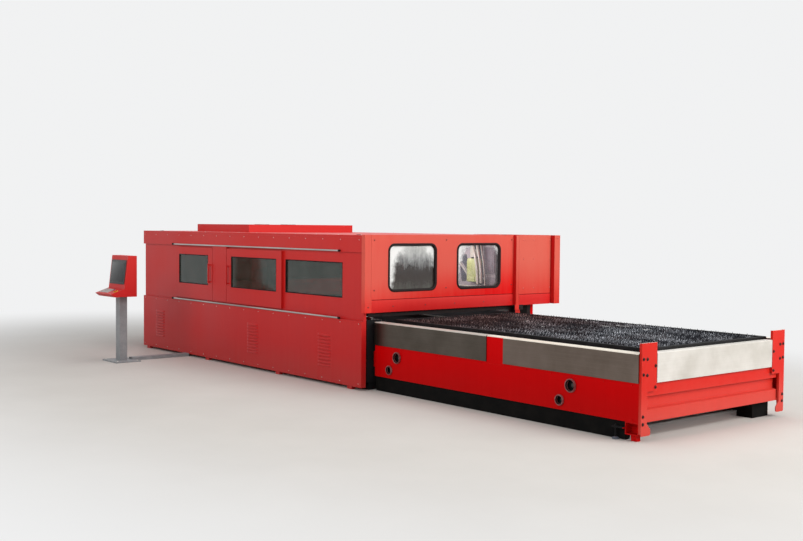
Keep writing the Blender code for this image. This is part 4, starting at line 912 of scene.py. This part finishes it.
def gasket(section, near, far, low, high, radius, steps=8):
    """A closed section of (inset, depth) carried round a rounded opening: each corner's points are
    its centre + (radius - inset) * direction, so every row is an opening inset by that much."""
    turn = np.linspace(0, math.pi / 2, steps + 1)
    quarter = (np.arange(4)[:, None] * math.pi / 2 + turn).ravel()
    way = np.stack([np.cos(quarter), np.sin(quarter)], -1)
    middle = np.array([((near + far) / 2, (low + high) / 2)])
    half = np.array([(far - near) / 2 - radius, (high - low) / 2 - radius])
    signs = np.repeat(np.array([(1, 1), (-1, 1), (-1, -1), (1, -1)]), steps + 1, axis=0)
    inset, depth = np.asarray(section, float).T
    spread = middle + signs * half + way * (radius - inset)[:, None, None]
    return np.concatenate([np.broadcast_to(depth[:, None, None], (*spread.shape[:2], 1)), spread], -1)


seal_section = [
    (-0.008, 0.0303), (-0.0095, 0.0325), (-0.0075, 0.036), (-0.001, 0.0385), (0.008, 0.0388),
    (0.0165, 0.0368), (0.0225, 0.0325), (0.0248, 0.0265), (0.025, 0.015), (0.025, -0.028),
    (0.0235, -0.0385), (0.016, -0.0436), (0.006, -0.044), (0.0006, -0.0425), (0.0006, 0.0303),
]
for number, (near, far) in enumerate(WINDOWS, 1):
    seal = gasket(seal_section, near, far, WINDOW_LOW, WINDOW_HIGH, WINDOW_RADIUS)
    piece = form("window_gasket_%d" % number, [skin(seal, True)], rubber, "machine", 50)
    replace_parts(piece, "hood_seal_%d" % number)


def painted_pane_film(name, middle, tones, reflection_tone, opacity, arch_at):
    """A window's painted film. Its tones go by height from the foot to the head of the window, pushed up
    and down by streaks and clouds, and give way to a pale rim outside an arch, a painted reflection.
    tones holds pairs of a height and a colour; opacity is low, high and rim."""
    made, tree, shader, spot = shader_of(name)
    parts = node(tree, "SeparateXYZ", Vector=spot).outputs
    u = fit(tree, parts["Y"], middle - 0.383, middle + 0.383, (-1.0, 1.0), clamp=False)
    v = fit(tree, parts["Z"], WINDOW_LOW, WINDOW_HIGH, clamp=False)
    streaks = noise(tree, stretched(tree, spot, 1.0, 20.0, 3.0), 1.3, 6.0, 0.7)
    cloud = noise(tree, spot, 9.0, 8.0, 0.68)
    pushed = maths(tree, "MULTIPLY_ADD", streaks, 0.42, v)
    pushed = maths(tree, "MULTIPLY_ADD", cloud, 0.4, pushed)
    level = maths(tree, "SUBTRACT", pushed, 0.41)
    lifted = maths(tree, "MAXIMUM", fit(tree, v, 0.2, 1.0, clamp=False), 0.0)
    slanted = maths(tree, "SUBTRACT", u, 0.16)
    from_foot = node(tree, "CombineXYZ", X=slanted, Y=lifted).outputs[0]
    arch = node(tree, "VectorMath", {"operation": "LENGTH"}, _0=from_foot).outputs["Value"]
    arch = maths(tree, "MULTIPLY_ADD", cloud, 0.55, arch)
    rim = fit(tree, arch, arch_at, arch_at + 0.26, smooth=True)
    thin = fit(tree, level, 0.3, 0.7, opacity[:2])
    thin = node(tree, "Mix", {"data_type": "FLOAT"}, _0=rim, _2=thin, _3=opacity[2]).outputs[0]
    wipe = fit(tree, streaks, to=(0.1, 0.34))
    colour = blend(tree, rim, ramp(tree, level, tones), reflection_tone)
    feed(tree, shader, Base_Color=colour, Alpha=thin, Roughness=wipe)
    return made


# Front pane, nearly opaque: dark brown low down paints the dim cabin behind; the pale top and upper corners
# are a painted reflection.
interior_and_reflection_tones = (
    (0.0, (0.085, 0.085, 0.072)), (0.16, (0.05, 0.042, 0.036)), (0.34, (0.034, 0.024, 0.02)),
    (0.5, (0.05, 0.044, 0.042)), (0.62, (0.22, 0.225, 0.225)), (0.8, (0.5, 0.51, 0.5)),
    (1.0, (0.72, 0.73, 0.7)),
)
sooted = painted_pane_film("front pane painted reflection", -0.2412, interior_and_reflection_tones, (0.98, 0.98, 0.96), (0.93, 0.86, 0.97), 1.16)
dress(sooted, "hood_glass_1")
# Far pane, mostly clear: paler toward the top and at its rim as a painted reflection.
faint_reflection_tones = ((0.0, (0.14, 0.12, 0.115)), (0.3, (0.2, 0.18, 0.19)), (1.0, (0.5, 0.48, 0.52)))
far_pane_reflection = painted_pane_film("far pane painted reflection", 0.9502, faint_reflection_tones, (0.95, 0.95, 0.94), (0.3, 0.1, 0.82), 1.28)
dress(far_pane_reflection, "hood_glass_2")

# ---------------------------------------------------------------------------------------------
# Behind the windows: a lamp-lit cabin lined with a lilac-grey board, on which stand a darker
# service panel, cream conduits that curve down, a yellow-green lubricator and a slate bracket
# with a pale strut. A dark slate plate behind the conduits paints their shade.
BOARD_Y = 2.7895
cream = coat("cream conduit", (0.66, 0.62, 0.54), (0.8, 0.77, 0.7), roughness=0.45, scale=30.0)
board_grey = coat("lining board", (0.4, 0.35, 0.38), (0.47, 0.42, 0.455), roughness=0.5, scale=3.0)
lilac = coat("service panel", (0.15, 0.11, 0.14), (0.27, 0.21, 0.26), roughness=0.45, scale=8.0)
lime = coat("yellow green lubricator", (0.5, 0.56, 0.16), (0.78, 0.8, 0.44), roughness=0.4, scale=7.0)
slate = coat("slate bracket", (0.02, 0.024, 0.045), (0.05, 0.055, 0.085), roughness=0.5, scale=12.0)
s = np.linspace(0, 1, 24)
turn = np.arange(12) * math.pi / 6
hoses = []
for start, bulge, depth, thick, foot in (
    (-1.085, 0.15, 2.664, 0.021, 0.6),
    (-1.0, 0.14, 2.668, 0.02, 0.585),
    (-0.945, 0.13, 2.7, 0.009, 0.64),
):
    bent = start + bulge * np.sin(s * math.pi / 2) ** 0.8
    route = np.stack([bent, np.full(24, depth), 1.925 - (foot + 0.08) * s], -1)
    hoses.append(skin(carried(thick * np.stack([np.cos(turn), np.sin(turn)], -1), route, (0, 1, 0))))
form("cabin_conduits", hoses, cream, "machine")


def plates(origins, side, up, width, height, thick, radius=0.004, bevel=0.0015):
    """Flat parts with round corners laid on a face at each origin: rows of the same outline, drawn
    in by a bevel toward the front. point = origin + side * a + up * b + (side x up) * t."""
    side, up = (np.asarray(v, float) / np.linalg.norm(v) for v in (side, up))
    out = np.cross(side, up)
    levels = ((0, -0.0006), (0, thick - bevel), (bevel * 0.3, thick - bevel * 0.3), (bevel, thick))
    rows = [softened(width - 2 * d, height - 2 * d, radius - 0.7 * d) for d, _ in levels]
    flat = np.array([row[:, :1] * side + row[:, 1:] * up + t * out for row, (_, t) in zip(rows, levels)])
    return skin(np.atleast_2d(np.asarray(origins, float))[:, None, None] + flat)


WALL = (1, 0, 0), (0, 0, 1)
seat = BOARD_Y - 0.004
form("lining_board", [plates((-1.55, BOARD_Y, 1.45), *WALL, 2.5, 0.94, 0.004)], board_grey, "machine")
panels = [
    plates((-0.795, seat, 1.6), *WALL, 0.225, 0.4, 0.02),
    plates((-0.8, seat, 1.285), *WALL, 0.3, 0.13, 0.03),
    plates((-0.796, seat - 0.02, 1.6), *WALL, 0.165, 0.33, 0.006),
]
form("service_panel", panels, lilac, "machine")
tank = [plates((-1.08, seat, 1.45), *WALL, 0.235, 0.36, 0.1, 0.035, 0.012)]
tank.append(plates((-1.095, seat - 0.1, 1.32), *WALL, 0.17, 0.08, 0.012, 0.015, 0.004))
form("lubricator", tank, lime, "machine")
cap_rows = [(0.05, -0.002), (0.05, 0.014), (0.046, 0.018), (0.014, 0.02), (0.012, 0.03)]
turned("lubricator_lid", cap_rows, (-1.08, 2.735, 1.629), UP, rubber, "machine", 28, False)
saddle = [plates((x, seat, z), *WALL, 0.05, 0.07, 0.105, 0.006) for x, z in ((-0.885, 1.3), (-1.0, 1.8))]
form("conduit_saddles", saddle, slate, "machine")
form("cabin_duct", [plates((-1.13, seat, 1.77), *WALL, 0.135, 0.25, 0.03, 0.012, 0.004)], cream, "machine")
upper = np.array([(-1.43, 1.59), (-1.262, 1.43), (-1.275, 1.56), (-1.31, 1.685), (-1.405, 1.685)])
lower = np.array([(-1.405, 1.27), (-1.32, 1.27), (-1.285, 1.35), (-1.44, 1.505), (-1.43, 1.4)])
# behind: a dark plate laid where the conduits cast shade, as painted shade.
behind = np.array([(-1.045, 1.23), (-0.88, 1.23), (-0.905, 1.48), (-0.96, 1.78), (-1.045, 1.78)])
faces = np.stack([upper, lower, behind])
outer, inner = (np.insert(faces, 1, BOARD_Y - deep, axis=2) for deep in (0.003, 0.011))
form("slate_brackets", [skin(np.stack([outer, inner], 1))], slate, "machine")
strut = [((-1.45, 2.76, 1.575), (-1.262, 2.76, 1.39)), ((-1.505, 2.76, 1.205), (-0.64, 2.76, 1.205))]
form("cabin_struts", bars(strut, 0.016, 0.016, 0.004, (0, 1, 0)), cream, "machine")
lamp_bars = [((-3.1, y, 1.948), (-0.45, y, 1.948)) for y in (0.02, 2.6)]
tube_white = coat("lamp diffuser", (0.82, 0.82, 0.8), (0.9, 0.9, 0.88), roughness=0.4, scale=10.0)
form("cabin_lamps", bars(lamp_bars, 0.06, 0.024, 0.008), tube_white, "machine")
inside = bpy.data.lights.new("cabin lamp", "AREA")
inside.shape = "RECTANGLE"
inside.size, inside.size_y, inside.energy = 2.4, 0.3, 45
stand = bpy.data.objects.new("cabin lamp", inside)
bpy.context.collection.objects.link(stand)
stand.location = (-1.65 + CORNER[0], 1.55 + CORNER[1], 1.88)
stand.rotation_euler = (math.radians(22), 0, 0)

# ---------------------------------------------------------------------------------------------
# Hood edges: a skirt sheet lapped over the foot of the hood and of the side box with a dark red bar
# along its joint that paints the shadow line of the lap, a folded cover between the two, and black
# rubber that closes the entry on both sides and the cabin's far corner; two of the black strips lie
# on the side face of the post beside the side box as its painted shade.
FRONT = (0, 1, 0), (0, 0, 1)
skirts = [plates((HOOD_FACE, 1.176, 1.0805), *FRONT, 2.54, 0.155, 0.0018, 0.002, 0.0007)]
skirts.append(plates((BOX_FACE, 2.835, 1.0765), *FRONT, 0.64, 0.143, 0.0018, 0.002, 0.0007))
form("hood_skirts", skirts, skirt_red, "machine")
# Dark red bars along the top of the skirts paint the shadow line of the lap joint.
joints = ((HOOD_FACE, -0.093, 2.446, 1.1625), (BOX_FACE, 2.515, 3.156, 1.152))
beads = [((face, y0, z), (face, y1, z)) for face, y0, y1, z in joints]
form("skirt_seam_shade", bars(beads, 0.0035, 0.0095, 0.0015), seam_shade, "machine")
cover = [plates((0.031, 2.4725, 1.4985), *FRONT, 0.052, 0.988, 0.059, 0.003, 0.002)]
cover.append(plates((0.085, 2.4695, 0.97), *FRONT, 0.077, 0.07, 0.007, 0.002, 0.001))
form("box_cover", cover, box_red, "machine")
flap_skins = []
for start, stop, width, height, up in (
    ((-0.031, -0.098, 0.9715), (-0.031, 0.119, 0.9715), 0.006, 0.054, (0, 0, 1)),
    ((-0.031, 2.431, 0.9415), (-0.031, 2.499, 0.9415), 0.006, 0.114, (0, 0, 1)),
    # This bar and the next are black sheets on the side face of the post beside the side box, painting its
    # shade.
    ((-0.036, 2.4955, 0.968), (0.084, 2.4955, 0.968), 0.006, 0.061, (0, 0, 1)),
    ((0.0, 2.4955, 0.06), (0.0, 2.4955, 0.937), 0.056, 0.006, (0, 1, 0)),
    ((-0.033, 2.83, 0.06), (-0.033, 2.83, 0.998), 0.074, 0.008, (1, 0, 0)),
):
    flap_skins += bars([(start, stop)], width, height, 0.002, up)
flap_skins.append(plates((BOX_FACE, 2.5495, 0.97), *FRONT, 0.08, 0.07, 0.0022, 0.002, 0.0007))
form("entry_seals", flap_skins, rubber, "machine")
corner_ends = [((-0.033, 2.8935, 0.06), (-0.033, 2.8935, 0.9985))]
corner_bar = bars(corner_ends, 0.053, 0.012, 0.003, (1, 0, 0))
form("cabin_corner_trim", corner_bar, frame_red, "machine")

# ---------------------------------------------------------------------------------------------
# Cabin: folded red panels screwed to a frame, with pressed louvres low on both long sides, rubber
# round each pane of dark laser-safe glass, and door tracks with end stops.
cabin_red = enamel("cabin red", (0.48, 0.005, 0.007), (0.62, 0.018, 0.015), 0.0, 2.0, gloss=0.26, dirt=0.3)
dress(cabin_red, "cabin_near", "cabin_far", "cabin_rear", "cabin_roof", "door_front", "door_rear")


def tinted(name, tint, haze):
    """Dark clear sheet with a dusty film: where the film is thick it is pale and rough."""
    made, tree, shader, spot = shader_of(name)
    film = noise(tree, spot, 5.0, 6.0, 0.65)
    share = fit(tree, film, 0.3, 0.75, (0.0, haze))
    opacity, wipe = fit(tree, share, to=(0.72, 1.0)), fit(tree, film, to=(0.04, 0.16))
    feed(tree, shader, Base_Color=blend(tree, share, tint, (0.5, 0.5, 0.48)), Alpha=opacity, Roughness=wipe)
    return made


dark_pane = tinted("laser safe pane", (0.012, 0.03, 0.02), 0.1)
dress(dark_pane, "door_front_glass", "door_rear_glass", "side_glass_fixed")
CABIN_NEAR, CABIN_FAR = -0.2, 2.83
PANE_LOW, PANE_HIGH = 1.165, 1.63
pane_edge = [(0.0004, 0.0), (0.0004, 0.6), (0.003, 0.95), (0.009, 1.0), (0.0125, 0.7), (0.013, 0.0)]
for name, x0, x1, seat, proud, body in (
    ("door_front_gasket", -3.27, -2.03, -0.186, 0.0135, "front_door"),
    ("door_rear_gasket", -4.9, -3.96, -0.186, 0.0135, "rear_door"),
    ("side_gasket", -1.85, -0.5, -0.145, 0.0195, "machine"),
):
    ring = gasket([(d, t * proud) for d, t in pane_edge], x0, x1, PANE_LOW, PANE_HIGH, 0.014, 4)
    ring = np.stack([ring[..., 1], seat - 0.0004 - ring[..., 0], ring[..., 2]], -1)
    form(name, [skin(ring, True)], rubber, body, 50)

TRACKS_Z = (1.783, 0.905)
track_steel = brushed("door track", (0.3, 0.3, 0.29), (0.55, 0.54, 0.52), "x")
tracks = [((-5.08, -0.207, z), (-0.52, -0.207, z)) for z in TRACKS_Z]
form("door_tracks", bars(tracks, 0.0135, 0.02, 0.003), track_steel, "machine")
stop_ends = [((x, -0.2125, z), (x + 0.03, -0.2125, z)) for x in (-5.1, -0.53) for z in TRACKS_Z]
form("door_stops", bars(stop_ends, 0.024, 0.028, 0.004), rubber, "machine")


def louvres(places, face, sign, length=0.3, deep=0.014, tall=0.028, columns=10):
    """Pressed louvres: along each, the lip rises as deep * sqrt(1 - (2s - 1)^8), so its ends round
    off; across it, the sheet bulges out as a quarter arch and drops back under the lip."""
    s = np.linspace(0, 1, 15)
    rise = np.sqrt(np.clip(1 - np.abs(2 * s - 1) ** 8, 0, 1))[:, None] * 0.98 + 0.02
    arc = np.linspace(0, math.pi / 2, columns - 3)
    out = np.concatenate([np.sin(arc), [0.86, -0.02, -0.02]])
    down = np.concatenate([np.cos(arc), [0.02, 0.04, 0.98]])
    x = np.broadcast_to((s - 0.5)[:, None] * length, (15, columns))
    y = sign * deep * out * rise
    z = tall * down * np.ones_like(rise)
    shape = np.stack([x, y, z], -1)
    return skin(np.asarray(places, float)[:, None, None] + shape + (0, face, 0))


vent_rows = np.arange(0.24, 0.66, 0.045)
near_vents = [(x, 0, z) for x in (-5.55, -2.65, -0.85) for z in vent_rows]
form("near_louvres", [louvres(near_vents, CABIN_NEAR, -1)], cabin_red, "machine", 50)
far_vents = [(x, 0, z) for x in (-5.5, -4.3, -3.1, -1.9) for z in vent_rows]
form("far_louvres", [louvres(far_vents, CABIN_FAR, 1)], cabin_red, "machine", 50)
ROOF_TOP = 1.99
near_row, far_row = np.arange(-6.1, -0.05, 0.4), np.arange(-6.1, -1.25, 0.4)
near_panel = [(x, CABIN_NEAR - 0.0002, z) for x in near_row for z in (0.085, 0.855, 1.93)]
far_panel = [(x, CABIN_FAR + 0.0002, z) for x in far_row for z in (0.12, 0.905, 0.995, 1.93)]
roof_rows = [(x, y, ROOF_TOP - 0.0002) for x in np.arange(-6.1, -0.05, 0.5) for y in (-0.165, 2.795)]
for name, places, way in (
    ("near_panel_screws", near_panel, (0, -1, 0)),
    ("far_panel_screws", far_panel, (0, 1, 0)),
    ("roof_screws", roof_rows, (0, 0, 1)),
):
    screws(name, places, way, 0.006, zinc, "machine")

# ---------------------------------------------------------------------------------------------
# Roof: four flush threaded lifting sockets near its corners, and two round extraction grilles of
# bent wire on the raised cover.
socket_rows = [
    (0.03, -0.001), (0.03, 0.0035), (0.027, 0.006), (0.016, 0.006), (0.0125, 0.0035), (0.012, -0.0005),
]
at_corners = [(x, y, ROOF_TOP - 0.0002) for x in (-5.85, -0.35) for y in (-0.02, 2.65)]
turned("lifting_sockets", socket_rows, at_corners, UP, blackened, "machine", 28, True, 50)
FAN_Y, COVER_TOP = 1.3, 2.11
fans = [(x, FAN_Y, COVER_TOP - 0.0002) for x in (-4.8, -4.0)]
grille = []
for x, y, z in fans:
    for r in (0.03, 0.06, 0.09, 0.12):
        wire = [(r + 0.002 * math.cos(t), 0.0045 + 0.002 * math.sin(t)) for t in np.arange(6) * math.pi / 3]
        grille.append(skin(lathe(wire, (x, y, z), UP, 48), True))
    for t in np.arange(8) * math.pi / 4:
        spoke = [(x + r * math.cos(t), y + r * math.sin(t), z + 0.0032) for r in (0.022, 0.121)]
        grille += bars([spoke], 0.004, 0.003, 0.001)
form("roof_grilles", grille, zinc, "machine")
well_rows = [(0.128, -0.001), (0.128, 0.0012), (0.124, 0.0024), (0.02, 0.0024)]
turned("roof_fan_wells", well_rows, fans, UP, soot, "machine", 48, False)

# ---------------------------------------------------------------------------------------------
# Rear cabinet: folded red doors on pin hinges, each with pressed louvres and a swing handle on a
# black escutcheon.
dress(cabin_red, "rear_cabinet", "cabinet_door_near", "cabinet_door_far")
BACK = -6.77
heights = [*np.arange(0.26, 0.5, 0.045), *np.arange(1.4, 1.64, 0.045)]
pin = [(0.007, -0.04), (0.0085, -0.037), (0.0085, 0.037), (0.007, 0.04)]
for side, middle_y, grip_y, hinge_y in (("near", 0.74, 1.24, 0.212), ("far", 1.86, 1.36, 2.388)):
    body = side + "_cabinet_door"
    spots, faces = louvres([(middle_y, 0, z) for z in heights], 0, -1, 0.55)
    spots = np.stack([BACK + spots[:, 1], spots[:, 0], spots[:, 2]], -1)
    form("cabinet_louvres_" + side, [(spots, faces)], cabin_red, body, 50)
    lock = plates((BACK, grip_y, 0.975), (0, -1, 0), (0, 0, 1), 0.052, 0.215, 0.006, 0.012)
    form("cabinet_lock_" + side, [lock], servo_black, body)
    pins_at = [(BACK - 0.006, hinge_y, z) for z in (0.3, 0.94, 1.58)]
    turned("cabinet_hinges_" + side, pin, pins_at, UP, zinc, body, 16, False)

# ---------------------------------------------------------------------------------------------
# Operator console: a grey pedestal under a red sheet case, with a dark screen in a black bezel,
# rows of plain unmarked keys, a jog dial, and a yellow collar under the red stop button.
console_grey = coat("console grey enamel", (0.22, 0.23, 0.24), (0.32, 0.33, 0.34), roughness=0.5, scale=8.0)
dress(console_grey, "console_stand")
dress(cabin_red, "console_head")
CONSOLE = np.array((-4.63, -1.32, 0.0))
LEVEL = (1, 0, 0)
screen_up = np.array((0, 0.06, 0.5)) / math.hypot(0.06, 0.5)
desk_up = np.array((0, 0.22, 0.075)) / math.hypot(0.22, 0.075)
screen_seat = CONSOLE + (0, -0.05, 1.37)
bezel = [plates(screen_seat, LEVEL, screen_up, 0.5, 0.37, 0.01, 0.014, 0.003)]
form("console_bezel", bezel, servo_black, "console")
dark_screen = tinted("console screen", (0.01, 0.014, 0.018), 0.04)
glass_seat = screen_seat + np.cross(LEVEL, screen_up) * 0.0095
glass = [plates(glass_seat, LEVEL, screen_up, 0.44, 0.3, 0.002, 0.006, 0.0008)]
form("console_screen", glass, dark_screen, "console")
desk_out = np.cross(LEVEL, desk_up)
desk_foot = CONSOLE + (0, -0.3, 1.045)


def on_desk(across, up):
    """A place on the sloping desk, across from its middle and up from its foot."""
    return desk_foot + desk_up * up + np.array((across, 0, 0))


keys = [on_desk(-0.23 + 0.034 * i, 0.06 + 0.036 * j) for i in range(9) for j in range(4)]
key_grey = coat("key caps", (0.42, 0.42, 0.4), (0.56, 0.56, 0.54), roughness=0.45, scale=60.0)
form("console_keys", [plates(keys, LEVEL, desk_up, 0.026, 0.026, 0.006, 0.004, 0.002)], key_grey, "console")
dial = [(0.026, -0.001), (0.026, 0.004), (0.021, 0.006), (0.021, 0.016), (0.018, 0.019), (0.006, 0.0195)]
turned("console_dial", dial, on_desk(0.11, 0.15), desk_out, servo_black, "console", 40, False)
collar = [
    (0.0168, -0.0002), (0.0365, -0.0002), (0.0365, 0.0032), (0.035, 0.0045), (0.0278, 0.0045),
    (0.027, 0.0014), (0.0168, 0.0014),
]
yellow = coat("yellow collar", (0.7, 0.48, 0.02), (0.8, 0.6, 0.08), roughness=0.4, scale=60.0)
stop_seat = on_desk(0.2, 0.12)
turned("stop_collar", collar, stop_seat, desk_out, yellow, "console", 40)
cap = [
    (0.015, 0.0085), (0.0238, 0.0095), (0.0252, 0.012), (0.0252, 0.02), (0.0238, 0.0245), (0.019, 0.0278),
    (0.011, 0.0292), (0.004, 0.0296),
]
stop_red = coat("stop button red", (0.5, 0.006, 0.006), (0.62, 0.03, 0.024), roughness=0.3, scale=30.0)
dress(stop_red, "stop_button")
turned("stop_cap", cap, stop_seat, desk_out, stop_red, "button", 40, False)
stand_bolts = [CONSOLE + (x, y, 0.0199) for x in (-0.21, 0.21) for y in (-0.16, 0.16)]
bolts("console_bolts", stand_bolts, (0, 0, 1), 0.009, zinc, "machine")

bpy.context.scene.view_settings.view_transform = "Standard"
